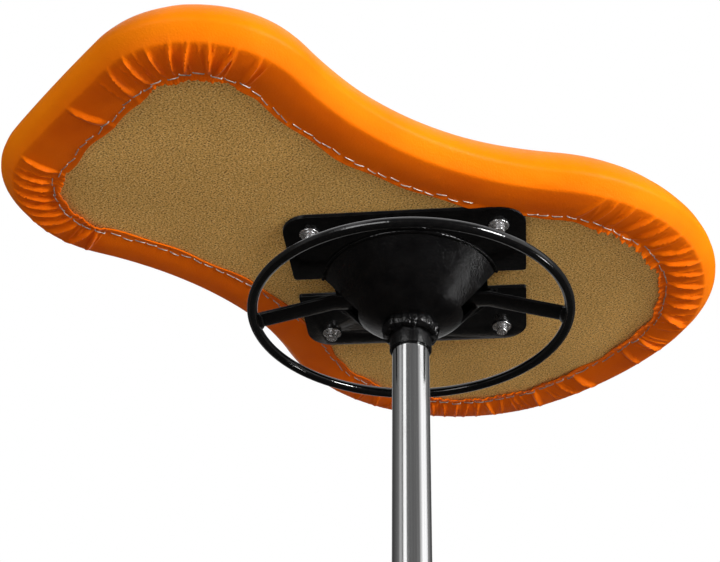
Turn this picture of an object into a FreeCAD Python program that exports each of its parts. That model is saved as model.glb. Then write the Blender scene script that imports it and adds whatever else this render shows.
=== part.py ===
import FreeCAD, Part
import math
import os

from FreeCAD import Vector

# Rolling stool: a two-lobed padded seat on a steel mounting plate with a welded bowl and a
# ring lever, a gas lift column, a five-legged star base and five twin-wheel casters.
# Millimetres, +Z up, origin on the floor under the column's axis, the seat's narrow end
# towards -Y. Modelled with the column fully raised.

# Small shared values
cut_overrun = 1.0
press_gap = 0.05
running_gap = 0.08
free_gap = 0.3
full_turn = 360.0
half_turn = 180.0
quarter_turn = 90.0

# Seat outline: arcs that meet in line, mirrored about the YZ plane
seat_front_reach = 318.0
seat_front_end_radius = 2000.0
seat_front_half_width = 141.0
seat_front_corner_radius = 89.0
seat_waist_half_width = 126.0
seat_waist_radius = 243.0
seat_back_half_width = 189.0
seat_back_lobe_radius = 156.0
seat_back_end_radius = 305.0

# Seat cushion section: turned in below its widest line, drawn in above it, then crowned
cover_thickness = 1.2
cushion_lower_rise = 12.0
cushion_lower_inset = 15.0
cushion_upper_rise = 40.0
cushion_upper_inset = 68.0
crown_rise = 6.0
crown_step_shares = ((0.45, 0.72), (0.08, 1.0))
cushion_lower_step_shares = (0.0, 0.33, 0.67)
cushion_upper_step_shares = (0.0, 0.25, 0.5, 0.75, 1.0)
hem_inset = 47.0

# Seat board
board_thickness = 15.0
board_edge_inset = 16.5

# Staples that hold the cover under the board
staple_inset = 40.0
staple_spacing = 14.0
staple_crown_length = 10.5
staple_wire = 0.8
staple_leg_length = 8.0

# Mounting plate, turned an eighth of a turn from the seat's long axis
mechanism_turn = 45.0
plate_edge_margin = 20.0
plate_thickness = 3.0
plate_corner_radius = 20.0
slot_width = 24.0
slot_offset = 2.5
notch_inner_reach = 60.0
notch_mouth_radius = 2.5
screw_spacing = 140.0

# Mounting screws, washers and tee nuts
screw_radius = 2.5
screw_length = 16.0
screw_head_radius = 4.3
screw_head_height = 5.2
screw_head_edge = 0.5
hex_key_across_flats = 4.0
hex_key_depth = 3.0
screw_hole_gap = 0.6
washer_radius = 7.6
washer_thickness = 1.4
tee_nut_flange_radius = 9.5
tee_nut_flange_thickness = 1.3
tee_nut_barrel_radius = 3.8
tee_nut_barrel_length = 11.0

# Pressed bowl under the plate
bowl_rim_radius = 67.5
bowl_depth = 43.0
bowl_shoulder_radius = 38.0
bowl_shoulder_depth = 34.0
bowl_shoulder_bend = 32.0
bowl_sheet = 2.5
window_height = 31.0
rim_weld_leg = 2.5
socket_weld_leg = 5.0

# Socket tube welded through the bowl
socket_radius = 16.0
socket_below_plate = 63.5
socket_top_below_plate = 36.0

# Ring lever
bar_width = 18.0
bar_thickness = 2.5
bar_below_plate = 14.5
bar_bend_reach = 60.0
lever_turn = 2.0
ring_radius = 121.5
ring_rod_radius = 4.0
ring_below_plate = 31.6
lever_weld_leg = 2.5

# Gas lift column
stroke = 190.0
stroke_margin = 10.0
pressure_tube_radius = 14.0
pressure_tube_wall = 1.5
pressure_tube_taper = 0.8
pressure_tube_top_below_plate = 32.0
pressure_tube_tail = 10.0
pressure_tube_lip = 1.0
pressure_tube_lip_width = 3.0
valve_body_length = 30.0
valve_pin_radius = 3.0
valve_pin_length = 40.0
valve_pin_edge = 0.6
rod_radius = 5.0
rod_stub_radius = 4.0
rod_guide_length = 12.0
rod_seal_length = 4.0
piston_above_seal = 4.0
piston_length = 10.0
piston_seal_width = 3.0
piston_seal_depth = 1.6

# Stand tube, its end plate and the guide sleeve in its mouth
stand_tube_length = 320.0
stand_tube_radius = 25.0
stand_tube_wall = 1.6
stand_tube_taper_length = 64.0
stand_tube_foot_radius = 23.4
end_plate_recess = 4.0
end_plate_thickness = 3.0
guide_sleeve_length = 80.0
guide_flange_height = 4.0
guide_flange_edge = 1.2

# Thrust bearing, buffer and clip at the foot of the rod
race_thickness = 1.0
race_radius = 12.5
ball_radius = 1.6
ball_circle_radius = 8.6
ball_count = 10
cage_thickness = 1.2
cage_inner_radius = 6.2
cage_outer_radius = 11.0
buffer_radius = 11.0
buffer_length = 14.0
clip_thickness = 1.0
clip_radius = 7.0
rod_foot_reach = 1.0

# Star base
leg_count = 5
first_leg_angle = -90.0
stem_circle_radius = 265.0
hub_radius = 38.0
hub_height = 66.0
hub_edge = 4.0
hub_above_boss = 4.0
tube_foot_rise = 0.5
leg_root_reach = 22.0
leg_middle_reach = 145.0
leg_root_width = 46.0
leg_middle_width = 38.0
leg_tip_width = 28.0
leg_root_top = 60.0
leg_middle_top = 50.0
leg_tip_top = 28.0
leg_root_bottom = 8.0
leg_middle_bottom = 9.0
leg_tip_bottom = 3.0
leg_top_share = 0.62
leg_edge_radius = 5.0
leg_wall = 3.2
rib_thickness = 2.4
rib_count = 5
boss_radius = 15.0
boss_height = 30.0
stem_bore_depth = 24.0

# Casters
wheel_radius = 25.0
wheel_width = 14.0
wheel_side_gap = 0.8
wheel_tread_edge = 3.0
wheel_dish_depth = 2.0
wheel_dish_inner_radius = 6.5
wheel_dish_outer_radius = 18.0
wheel_inner_dish_depth = 4.0
wheel_hub_radius = 7.0
axle_radius = 3.0
axle_end_wall = 2.6
caster_trail = 20.0
web_thickness = 14.0
web_low_edge = 7.0
hood_gap = 1.6
hood_thickness = 2.6
hood_overhang = 0.8
hood_start_angle = -14.0
hood_end_angle = 158.0
stem_radius = 5.5
stem_in_housing = 16.0
stem_in_base = 22.0
stem_collar_radius = 8.0
stem_collar_height = 1.5
stem_edge = 1.0
housing_boss_radius = 11.0
housing_top_above_hood = 1.6
caster_headings = (64.0, 48.0, 75.0, 52.0, 70.0)

# Sizes that follow from those above: heights from the floor up, then the plate
hood_outer_radius = wheel_radius + hood_gap + hood_thickness
housing_top = wheel_radius + hood_outer_radius + housing_top_above_hood
boss_bottom = housing_top + stem_collar_height + free_gap
hub_bottom = boss_bottom + hub_above_boss
stand_tube_bottom = hub_bottom + tube_foot_rise
stand_tube_top = stand_tube_bottom + stand_tube_length
guide_flange_top = stand_tube_top + guide_flange_height
socket_bottom = guide_flange_top + stroke_margin + stroke
plate_bottom = socket_bottom + socket_below_plate
plate_top = plate_bottom + plate_thickness
board_top = plate_top + board_thickness
cover_bottom = plate_top - cover_thickness
cushion_widest = cover_bottom + cushion_lower_rise
pressure_tube_bottom = stand_tube_top - guide_sleeve_length - pressure_tube_tail
pressure_tube_top = plate_bottom - pressure_tube_top_below_plate
pressure_tube_bore = pressure_tube_radius - pressure_tube_wall
end_plate_bottom = stand_tube_bottom + end_plate_recess
end_plate_top = end_plate_bottom + end_plate_thickness
lower_race_top = end_plate_top + race_thickness
upper_race_bottom = lower_race_top + 2 * (ball_radius + running_gap)
upper_race_top = upper_race_bottom + race_thickness
seal_bottom = pressure_tube_bottom + pressure_tube_lip + rod_guide_length
piston_bottom = seal_bottom + rod_seal_length + piston_above_seal
piston_top = piston_bottom + piston_length
bar_top = plate_bottom - bar_below_plate
bar_bottom = bar_top - bar_thickness
plate_side = screw_spacing + 2 * plate_edge_margin
axis_z = Vector(0, 0, 1)
origin = Vector(0, 0, 0)


def polar(radius, angle):
    """A point at a radius and an angle in degrees, in the XY plane."""
    turn = math.radians(angle)
    return Vector(radius * math.cos(turn), radius * math.sin(turn), 0)


def turned(shape, angle, axis=axis_z, centre=origin):
    """A copy of a shape turned about an axis."""
    copy = shape.copy()
    copy.rotate(centre, axis, angle)
    return copy


def moved(shape, x, y, z):
    """A copy of a shape moved by x, y and z."""
    copy = shape.copy()
    copy.translate(Vector(x, y, z))
    return copy


def cylinder(radius, bottom, top, x=0, y=0):
    """An upright cylinder between two heights."""
    return Part.makeCylinder(radius, top - bottom, Vector(x, y, bottom))


def ring(outer, inner, bottom, top, x=0, y=0):
    """A flat ring or a short tube between two heights."""
    bore = cylinder(inner, bottom - cut_overrun, top + cut_overrun, x, y)
    return cylinder(outer, bottom, top, x, y).cut(bore)


def revolved(points, centre=origin, axis=axis_z):
    """A solid turned from a closed outline of radius and height points."""
    corners = [Vector(radius, 0, height) for radius, height in points]
    face = Part.Face(Part.makePolygon(corners + corners[:1]))
    return face.revolve(centre, axis, full_turn)


def box_between(low, high):
    """A box between two opposite corners."""
    size = high - low
    return Part.makeBox(size.x, size.y, size.z, low)


# Seat outline and lofts

def seat_arcs(inset=0, scale=1):
    """The eight arcs of the seat's outline, moved inwards and scaled about the widest lobe."""
    front_y = -seat_front_reach + seat_front_end_radius
    corner_x = seat_front_half_width - seat_front_corner_radius
    reach = seat_front_end_radius - seat_front_corner_radius
    corner_y = front_y - math.sqrt(reach ** 2 - corner_x ** 2)
    waist_x = seat_waist_half_width + seat_waist_radius
    reach = seat_front_corner_radius + seat_waist_radius
    waist_y = corner_y + math.sqrt(reach ** 2 - (waist_x - corner_x) ** 2)
    lobe_x = seat_back_half_width - seat_back_lobe_radius
    reach = seat_waist_radius + seat_back_lobe_radius
    lobe_y = waist_y + math.sqrt(reach ** 2 - (waist_x - lobe_x) ** 2)
    reach = seat_back_end_radius - seat_back_lobe_radius
    back_y = lobe_y - math.sqrt(reach ** 2 - lobe_x ** 2)

    front_turn = math.degrees(math.atan2(corner_y - front_y, corner_x))
    waist_turn = math.degrees(math.atan2(waist_y - corner_y, waist_x - corner_x))
    lobe_turn = math.degrees(math.atan2(lobe_y - waist_y, lobe_x - waist_x))
    back_turn = math.degrees(math.atan2(lobe_y - back_y, lobe_x))
    front = (0, front_y, seat_front_end_radius - inset,
             -half_turn - front_turn, front_turn)
    right = [
        (corner_x, corner_y, seat_front_corner_radius - inset, front_turn, waist_turn),
        (waist_x, waist_y, seat_waist_radius + inset, half_turn + waist_turn, lobe_turn),
        (lobe_x, lobe_y, seat_back_lobe_radius - inset, lobe_turn - half_turn, back_turn),
    ]
    back = (0, back_y, seat_back_end_radius - inset, back_turn, half_turn - back_turn)
    left = [(-x, y, radius, half_turn - end, half_turn - start)
            for x, y, radius, start, end in reversed(right)]
    arcs = [front] + right + [back] + left
    return [(x * scale, lobe_y + (y - lobe_y) * scale, radius * scale, start, end)
            for x, y, radius, start, end in arcs]


def arc_point(arc, share):
    """The point at a share of an arc's length, and the arc's direction there in degrees."""
    x, y, radius, start, end = arc
    angle = start + (end - start) * share
    spot = Vector(x, y, 0) + polar(radius, angle)
    heading = angle + math.copysign(quarter_turn, end - start)
    return spot, heading


def seat_wire(height, inset=0, scale=1):
    """The seat's outline as a closed wire at a height."""
    edges = []
    for arc in seat_arcs(inset, scale):
        points = [arc_point(arc, share)[0] + Vector(0, 0, height) for share in (0, 0.5, 1)]
        edges.append(Part.Arc(*points).toShape())
    return Part.Wire(edges)


def seat_prism(inset, bottom, top):
    """A straight block with the seat's outline."""
    return Part.Face(seat_wire(bottom, inset)).extrude(Vector(0, 0, top - bottom))


def cushion(skin):
    """The cushion's form, with a skin of this thickness taken off all round."""
    wires = []
    for share in cushion_lower_step_shares:
        turn = math.radians(quarter_turn * share)
        inset = cushion_lower_inset - (cushion_lower_inset - skin) * math.sin(turn)
        height = cushion_widest - (cushion_lower_rise - skin) * math.cos(turn)
        wires.append(seat_wire(height, inset))
    for share in cushion_upper_step_shares:
        turn = math.radians(quarter_turn * share)
        inset = cushion_upper_inset - (cushion_upper_inset - skin) * math.cos(turn)
        height = cushion_widest + (cushion_upper_rise - skin) * math.sin(turn)
        wires.append(seat_wire(height, inset))
    shoulder = cushion_widest + cushion_upper_rise - skin
    for scale_share, rise_share in crown_step_shares:
        wires.append(seat_wire(shoulder + crown_rise * rise_share, cushion_upper_inset, scale_share))
    return Part.makeLoft(wires, True, True)


def screw_places():
    """The four screw places in the plate's own axes."""
    half = screw_spacing / 2
    return [(x, y) for x in (-half, half) for y in (-half, half)]


def at_screws(shape):
    """Four copies of a shape, one on each screw axis, turned with the mechanism."""
    copies = [moved(shape, x, y, 0) for x, y in screw_places()]
    return [turned(copy, mechanism_turn) for copy in copies]


def make_seat_board():
    """Particle board under the foam, with counterbored holes for the tee nuts."""
    board = seat_prism(board_edge_inset, plate_top, board_top)
    hole_radius = tee_nut_barrel_radius + press_gap
    hole = cylinder(hole_radius, plate_top - cut_overrun, board_top + cut_overrun)
    recess_bottom = board_top - tee_nut_flange_thickness
    recess = cylinder(tee_nut_flange_radius + press_gap, recess_bottom, board_top + cut_overrun)
    return board.cut(at_screws(hole.fuse(recess)))


def make_seat_foam(board_blank):
    """Foam over the board and round its edge."""
    return cushion(cover_thickness).cut(board_blank)


def make_seat_cover(plate_blank):
    """Vinyl over the foam, turned under the board's edge as far as the hem."""
    skin = cushion(0).cut(cushion(cover_thickness))
    middle = seat_prism(hem_inset, cover_bottom - cut_overrun, plate_top + cut_overrun)
    return skin.cut([middle, plate_blank])


def make_staples():
    """Wire staples in one line parallel to the hem, driven up into the board."""
    half_crown = staple_crown_length / 2
    half_wire = staple_wire / 2
    crown = box_between(Vector(-half_crown, -half_wire, cover_bottom - staple_wire),
                        Vector(half_crown, half_wire, cover_bottom))
    leg_top = cover_bottom + staple_leg_length
    left_leg = box_between(Vector(-half_crown, -half_wire, cover_bottom),
                           Vector(-half_crown + staple_wire, half_wire, leg_top))
    right_leg = moved(left_leg, staple_crown_length - staple_wire, 0, 0)
    staple = crown.fuse([left_leg, right_leg]).removeSplitter()
    plate_reach = plate_side / 2 + staple_wire
    staples = []
    for arc in seat_arcs(staple_inset):
        length = arc[2] * math.radians(abs(arc[4] - arc[3]))
        count = max(1, round(length / staple_spacing))
        for step in range(count):
            spot, heading = arc_point(arc, (step + 0.5) / count)
            if under_plate(spot, plate_reach):
                continue
            staples.append(moved(turned(staple, heading), spot.x, spot.y, 0))
    return staples


def under_plate(spot, reach):
    """Whether a staple at this spot would lie under the mounting plate."""
    local = FreeCAD.Rotation(axis_z, -mechanism_turn).multVec(spot)
    half = staple_crown_length / 2
    return abs(local.x) < reach + half and abs(local.y) < reach + half


# Mounting plate, its fixings and the bowl

def plate_blank(grow=0):
    """The mounting plate before its notches and holes, grown by a gap."""
    half = plate_side / 2 + grow
    block = box_between(Vector(-half, -half, plate_bottom - grow),
                        Vector(half, half, plate_top))
    corners = [edge for edge in block.Edges if edge.BoundBox.ZLength > plate_thickness / 2]
    return turned(block.makeFillet(plate_corner_radius, corners), mechanism_turn)


def notch(side):
    """The cut for a lever arm in one side of the plate, with rounded mouth corners."""
    bottom = plate_bottom - cut_overrun
    top = plate_top + cut_overrun
    half = plate_side / 2
    outer = half + cut_overrun
    near = slot_offset - slot_width / 2
    far = slot_offset + slot_width / 2
    cutter = box_between(Vector(notch_inner_reach, near, bottom), Vector(outer, far, top))
    for y, way in ((near, -1), (far, 1)):
        corner_y = sorted((y, y + way * notch_mouth_radius))
        square = box_between(Vector(half - notch_mouth_radius, corner_y[0], bottom),
                             Vector(outer, corner_y[1], top))
        round_corner = cylinder(notch_mouth_radius, bottom, top,
                                half - notch_mouth_radius, y + way * notch_mouth_radius)
        cutter = cutter.fuse(square.cut(round_corner))
    if side < 0:
        cutter = cutter.mirror(origin, Vector(1, 0, 0))
    return turned(cutter, mechanism_turn)


def make_mounting_plate():
    """Steel plate with two arm notches and four screw holes."""
    hole = cylinder(screw_radius + screw_hole_gap, plate_bottom - cut_overrun,
                    plate_top + cut_overrun)
    return plate_blank().cut([notch(-1), notch(1)] + at_screws(hole))


def make_mounting_screws():
    """Socket head cap screws, heads down."""
    head_top = plate_bottom - washer_thickness
    head_bottom = head_top - screw_head_height
    head = revolved([(0, head_bottom), (screw_head_radius - screw_head_edge, head_bottom),
                     (screw_head_radius, head_bottom + screw_head_edge),
                     (screw_head_radius, head_top), (0, head_top)])
    shank = cylinder(screw_radius, head_top, head_top + screw_length)
    corner_radius = hex_key_across_flats / 2 / math.cos(math.radians(half_turn / 6))
    corners = [polar(corner_radius, full_turn / 6 * step) for step in range(7)]
    key_face = Part.Face(Part.makePolygon(corners))
    key = key_face.extrude(Vector(0, 0, hex_key_depth + cut_overrun))
    key = moved(key, 0, 0, head_bottom - cut_overrun)
    return at_screws(head.fuse(shank).removeSplitter().cut(key))


def make_washers():
    """Flat washers under the screw heads."""
    return at_screws(ring(washer_radius, screw_radius + screw_hole_gap / 2,
                          plate_bottom - washer_thickness, plate_bottom))


def make_tee_nuts():
    """Tee nuts let into the top of the board."""
    flange_bottom = board_top - tee_nut_flange_thickness
    flange = cylinder(tee_nut_flange_radius, flange_bottom, board_top)
    barrel = cylinder(tee_nut_barrel_radius, board_top - tee_nut_barrel_length, board_top)
    bore = cylinder(screw_radius + press_gap, plate_top, board_top + cut_overrun)
    return at_screws(flange.fuse(barrel).removeSplitter().cut(bore))


def bowl_profile(skin):
    """One side of the bowl's wall from rim to bottom, as edges, a skin in from the outside."""
    rim = Vector(bowl_rim_radius, 0, plate_bottom)
    shoulder = Vector(bowl_shoulder_radius, 0, plate_bottom - bowl_shoulder_depth)
    foot = Vector(socket_radius, 0, plate_bottom - bowl_depth)
    flank = (shoulder - rim).normalize()
    dish = (foot - shoulder).normalize()
    flank_in = Vector(flank.z, 0, -flank.x) * skin
    dish_in = Vector(dish.z, 0, -dish.x) * skin
    bend = bowl_shoulder_bend - skin
    half_bend = math.acos(flank.dot(dish)) / 2
    run = bowl_shoulder_bend * math.tan(half_bend)
    bend_start = shoulder - flank * run + flank_in
    bend_end = shoulder + dish * run + dish_in
    centre = bend_start + Vector(flank.z, 0, -flank.x) * bend
    middle = centre + (shoulder - centre).normalize() * bend
    rim_in = rim + flank_in - flank * (flank_in.z / flank.z)
    foot_in = foot + dish_in - dish * (dish_in.x / dish.x)
    return rim_in, bend_start, middle, bend_end, foot_in


def make_bowl():
    """Pressed bowl of even thickness with a window up from each side's rim for the lever bar."""
    outer = bowl_profile(0)
    inner = bowl_profile(bowl_sheet)
    edges = [
        Part.LineSegment(outer[0], outer[1]).toShape(),
        Part.Arc(outer[1], outer[2], outer[3]).toShape(),
        Part.LineSegment(outer[3], outer[4]).toShape(),
        Part.LineSegment(outer[4], inner[4]).toShape(),
        Part.LineSegment(inner[4], inner[3]).toShape(),
        Part.Arc(inner[3], inner[2], inner[1]).toShape(),
        Part.LineSegment(inner[1], inner[0]).toShape(),
        Part.LineSegment(inner[0], outer[0]).toShape(),
    ]
    wall = Part.Face(Part.Wire(edges)).revolve(origin, axis_z, full_turn)
    wall = wall.cut(cylinder(socket_radius + press_gap, socket_bottom, plate_top))
    window = box_between(
        Vector(-bowl_rim_radius, slot_offset - slot_width / 2, plate_bottom - window_height),
        Vector(bowl_rim_radius, slot_offset + slot_width / 2, plate_top))
    return turned(wall.cut(window), mechanism_turn)


def make_socket_tube():
    """Tube with a tapered bore that the gas lift's tube wedges into."""
    top = plate_bottom - socket_top_below_plate
    bore_at_top = pressure_tube_outer(top) + press_gap
    bore_at_mouth = pressure_tube_outer(socket_bottom) + press_gap
    return revolved([(bore_at_mouth, socket_bottom), (socket_radius, socket_bottom),
                     (socket_radius, top), (bore_at_top, top)])


def make_socket_weld():
    """Weld bead round the socket tube under the bowl."""
    outer = bowl_profile(0)
    foot = outer[4]
    along = (outer[3] - foot).normalize() * socket_weld_leg
    inner_radius = socket_radius + press_gap
    toe = foot + along
    belly = Vector((inner_radius + toe.x) / 2 + socket_weld_leg / 6, 0,
                   foot.z - socket_weld_leg / 2)
    root_low = Vector(inner_radius, 0, foot.z - socket_weld_leg)
    root_high = Vector(inner_radius, 0, foot.z)
    edges = [
        Part.LineSegment(root_high, toe).toShape(),
        Part.Arc(toe, belly, root_low).toShape(),
        Part.LineSegment(root_low, root_high).toShape(),
    ]
    return Part.Face(Part.Wire(edges)).revolve(origin, axis_z, full_turn)


def make_rim_weld():
    """Weld bead between the bowl's rim and the plate, open at the notches."""
    flank = bowl_profile(0)[1] - bowl_profile(0)[0]
    lean = flank.x / flank.z * rim_weld_leg
    bead = revolved([(bowl_rim_radius, plate_bottom),
                     (bowl_rim_radius + rim_weld_leg, plate_bottom),
                     (bowl_rim_radius - lean, plate_bottom - rim_weld_leg)])
    lower = [moved(notch(side), 0, 0, -rim_weld_leg) for side in (-1, 1)]
    return bead.cut(lower)


# Ring lever and valve pin

def make_lever_ring():
    """Round rod bent to a closed ring."""
    torus = Part.makeTorus(ring_radius, ring_rod_radius, Vector(0, 0, plate_bottom - ring_below_plate))
    return turned(torus, mechanism_turn)


def make_lever_bar(lever_ring):
    """Flat bar across the bowl, both ends bent down to the ring and cut to its round."""
    ring_height = plate_bottom - ring_below_plate + bar_thickness / 2
    half = bar_width / 2
    upper = [(-ring_radius, ring_height), (-bar_bend_reach, bar_top),
             (bar_bend_reach, bar_top), (ring_radius, ring_height)]
    lower = [(x, z - bar_thickness) for x, z in reversed(upper)]
    corners = [Vector(x, slot_offset - half, z) for x, z in upper + lower]
    bar = Part.Face(Part.makePolygon(corners + corners[:1])).extrude(Vector(0, bar_width, 0))
    bar = turned(bar, mechanism_turn + lever_turn)
    trimmed = bar.cut(lever_ring)
    return max(trimmed.Solids, key=lambda solid: solid.Volume)


def make_lever_welds(lever_ring, lever_bar):
    """Weld beads under and over both arms where they meet the ring."""
    beads = []
    reach = ring_radius - ring_rod_radius
    length = bar_width + lever_weld_leg
    centre_z = plate_bottom - ring_below_plate
    for side in (-1, 1):
        bead = Part.makeCylinder(lever_weld_leg + bar_thickness / 2, length,
                                 Vector(side * reach, slot_offset - length / 2, centre_z),
                                 Vector(0, 1, 0))
        beads.append(turned(bead, mechanism_turn + lever_turn).cut([lever_ring, lever_bar]))
    welds = []
    for bead in beads:
        welds.extend(bead.Solids)
    return welds


def make_valve_pin():
    """Release pin of the gas lift, standing up to the lever bar."""
    top = bar_bottom - free_gap
    bottom = top - valve_pin_length
    return revolved([(0, bottom), (valve_pin_radius, bottom),
                     (valve_pin_radius, top - valve_pin_edge),
                     (valve_pin_radius - valve_pin_edge, top), (0, top)])


# Gas lift

def pressure_tube_outer(height):
    """The pressure tube's outside radius at a height: straight, then tapered in the socket."""
    length = pressure_tube_top - socket_bottom
    share = max(0, min(1, (height - socket_bottom) / length))
    return pressure_tube_radius - pressure_tube_taper * share


def make_pressure_tube():
    """Polished tube with a tapered head and an inturned lip at its foot."""
    head_outer = pressure_tube_outer(pressure_tube_top)
    lip_top = pressure_tube_bottom + pressure_tube_lip
    return revolved([
        (pressure_tube_bore - pressure_tube_lip_width, pressure_tube_bottom),
        (pressure_tube_radius, pressure_tube_bottom),
        (pressure_tube_radius, socket_bottom),
        (head_outer, pressure_tube_top),
        (head_outer - pressure_tube_wall, pressure_tube_top),
        (pressure_tube_bore, socket_bottom),
        (pressure_tube_bore, lip_top),
        (pressure_tube_bore - pressure_tube_lip_width, lip_top),
    ])


def make_valve_body():
    """Plug in the tube's head, bored for the release pin."""
    bottom = pressure_tube_top - valve_body_length
    skin = pressure_tube_wall + press_gap
    bore = valve_pin_radius + running_gap
    return revolved([(bore, bottom), (pressure_tube_outer(bottom) - skin, bottom),
                     (pressure_tube_outer(socket_bottom) - skin, max(bottom, socket_bottom)),
                     (pressure_tube_outer(pressure_tube_top) - skin, pressure_tube_top),
                     (bore, pressure_tube_top)])


def make_rod_guide():
    """Guide bush at the foot of the pressure tube."""
    bottom = pressure_tube_bottom + pressure_tube_lip
    return ring(pressure_tube_bore - press_gap, rod_radius + running_gap, bottom, seal_bottom)


def make_rod_seal():
    """Rubber seal above the guide bush."""
    return ring(pressure_tube_bore - press_gap, rod_radius + running_gap,
                seal_bottom, seal_bottom + rod_seal_length)


def make_piston_rod():
    """Rod from the thrust bearing up to the piston, with a thinner stub at its foot."""
    foot = stand_tube_bottom + rod_foot_reach
    clip_bottom = end_plate_bottom - free_gap - clip_thickness
    groove = rod_stub_radius - rod_foot_reach
    return revolved([
        (0, foot), (rod_stub_radius, foot), (rod_stub_radius, clip_bottom), (groove, clip_bottom),
        (groove, clip_bottom + clip_thickness), (rod_stub_radius, clip_bottom + clip_thickness),
        (rod_stub_radius, upper_race_top), (rod_radius, upper_race_top), (rod_radius, piston_bottom),
        (rod_stub_radius, piston_bottom), (rod_stub_radius, piston_top), (0, piston_top),
    ])


def make_piston():
    """Piston on the rod's upper end, grooved for its seal."""
    radius = pressure_tube_bore - running_gap
    middle = (piston_bottom + piston_top) / 2
    half = piston_seal_width / 2
    inner = rod_stub_radius + press_gap
    return revolved([
        (inner, piston_bottom), (radius, piston_bottom), (radius, middle - half),
        (radius - piston_seal_depth, middle - half), (radius - piston_seal_depth, middle + half),
        (radius, middle + half), (radius, piston_top), (inner, piston_top),
    ])


def make_piston_seal():
    """Rubber ring in the piston's groove."""
    middle = (piston_bottom + piston_top) / 2
    half = piston_seal_width / 2 - press_gap
    outer = pressure_tube_bore - running_gap
    return ring(outer, outer - piston_seal_depth + press_gap, middle - half, middle + half)


def make_rubber_buffer():
    """Rubber end stop round the rod's foot."""
    return ring(buffer_radius, rod_radius + press_gap, upper_race_top,
                upper_race_top + buffer_length)


def make_retaining_clip():
    """Open spring clip in the rod's groove, under the end plate."""
    top = end_plate_bottom - free_gap
    groove = rod_stub_radius - rod_foot_reach + press_gap
    clip = ring(clip_radius, groove, top - clip_thickness, top)
    mouth = box_between(Vector(0, -groove, top - clip_thickness - cut_overrun),
                        Vector(clip_radius + cut_overrun, groove, top + cut_overrun))
    return clip.cut(mouth)


# Stand tube and its fittings

def stand_tube_outer(height):
    """The stand tube's outside radius at a height: tapered at its foot, then straight."""
    share = max(0, min(1, (height - stand_tube_bottom) / stand_tube_taper_length))
    return stand_tube_foot_radius + (stand_tube_radius - stand_tube_foot_radius) * share


def make_stand_tube():
    """Chromed outer tube of the column."""
    taper_top = stand_tube_bottom + stand_tube_taper_length
    return revolved([
        (stand_tube_foot_radius, stand_tube_bottom), (stand_tube_radius, taper_top),
        (stand_tube_radius, stand_tube_top), (stand_tube_radius - stand_tube_wall, stand_tube_top),
        (stand_tube_radius - stand_tube_wall, taper_top),
        (stand_tube_foot_radius - stand_tube_wall, stand_tube_bottom),
    ])


def make_end_plate():
    """Plate pressed into the tube's foot, bored for the rod's stub."""
    radius = stand_tube_outer(end_plate_bottom) - stand_tube_wall - press_gap
    return ring(radius, rod_stub_radius + running_gap, end_plate_bottom, end_plate_top)


def make_guide_sleeve():
    """Plastic bush in the tube's mouth, with a flange on top."""
    bore = pressure_tube_radius + running_gap
    body = stand_tube_radius - stand_tube_wall - press_gap
    return revolved([
        (bore, stand_tube_top - guide_sleeve_length), (body, stand_tube_top - guide_sleeve_length),
        (body, stand_tube_top), (stand_tube_radius, stand_tube_top),
        (stand_tube_radius, guide_flange_top - guide_flange_edge),
        (stand_tube_radius - guide_flange_edge, guide_flange_top), (bore, guide_flange_top),
    ])


def make_bearing_balls():
    """Balls between the two races."""
    middle = (lower_race_top + upper_race_bottom) / 2
    balls = []
    for step in range(ball_count):
        spot = polar(ball_circle_radius, full_turn / ball_count * step) + Vector(0, 0, middle)
        balls.append(Part.makeSphere(ball_radius, spot))
    return balls


def make_ball_cage():
    """Flat ring with a pocket for each ball."""
    middle = (lower_race_top + upper_race_bottom) / 2
    cage = ring(cage_outer_radius, cage_inner_radius, middle - cage_thickness / 2,
                middle + cage_thickness / 2)
    pockets = []
    for step in range(ball_count):
        spot = polar(ball_circle_radius, full_turn / ball_count * step)
        pockets.append(cylinder(ball_radius + running_gap, middle - cage_thickness,
                                middle + cage_thickness, spot.x, spot.y))
    return cage.cut(pockets)


# Star base

def leg_section(reach, width, bottom, top, skin=0, drop=0):
    """A leg's cross section at a reach: straight sides that lean in, and a rounded top."""
    low = hub_bottom + bottom - drop
    high = hub_bottom + top - skin
    half_low = width / 2 - skin
    half_high = width / 2 * leg_top_share - skin / 2
    edge = leg_edge_radius
    side = Vector(0, half_high - half_low, high - low).normalize() * edge
    points = [
        Vector(reach, -half_low, low), Vector(reach, half_low, low),
        Vector(reach, half_high, high) - side, Vector(reach, half_high - edge, high),
        Vector(reach, -half_high + edge, high),
        Vector(reach, -half_high, high) - Vector(0, -side.y, side.z),
    ]
    right_middle = (points[2] + points[3]) / 2 + (Vector(reach, half_high, high) - points[2]) / 4
    left_middle = Vector(reach, -right_middle.y, right_middle.z)
    return Part.Wire([
        Part.LineSegment(points[0], points[1]).toShape(),
        Part.LineSegment(points[1], points[2]).toShape(),
        Part.Arc(points[2], right_middle, points[3]).toShape(),
        Part.LineSegment(points[3], points[4]).toShape(),
        Part.Arc(points[4], left_middle, points[5]).toShape(),
        Part.LineSegment(points[5], points[0]).toShape(),
    ])


def leg_loft(skin=0, drop=0):
    """A leg's outside, or with a skin its inside, from the hub to the caster boss."""
    return Part.makeLoft([
        leg_section(leg_root_reach, leg_root_width, leg_root_bottom, leg_root_top, skin, drop),
        leg_section(leg_middle_reach, leg_middle_width, leg_middle_bottom, leg_middle_top,
                    skin, drop),
        leg_section(stem_circle_radius, leg_tip_width, leg_tip_bottom, leg_tip_top, skin, drop),
    ], True, True)


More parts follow.
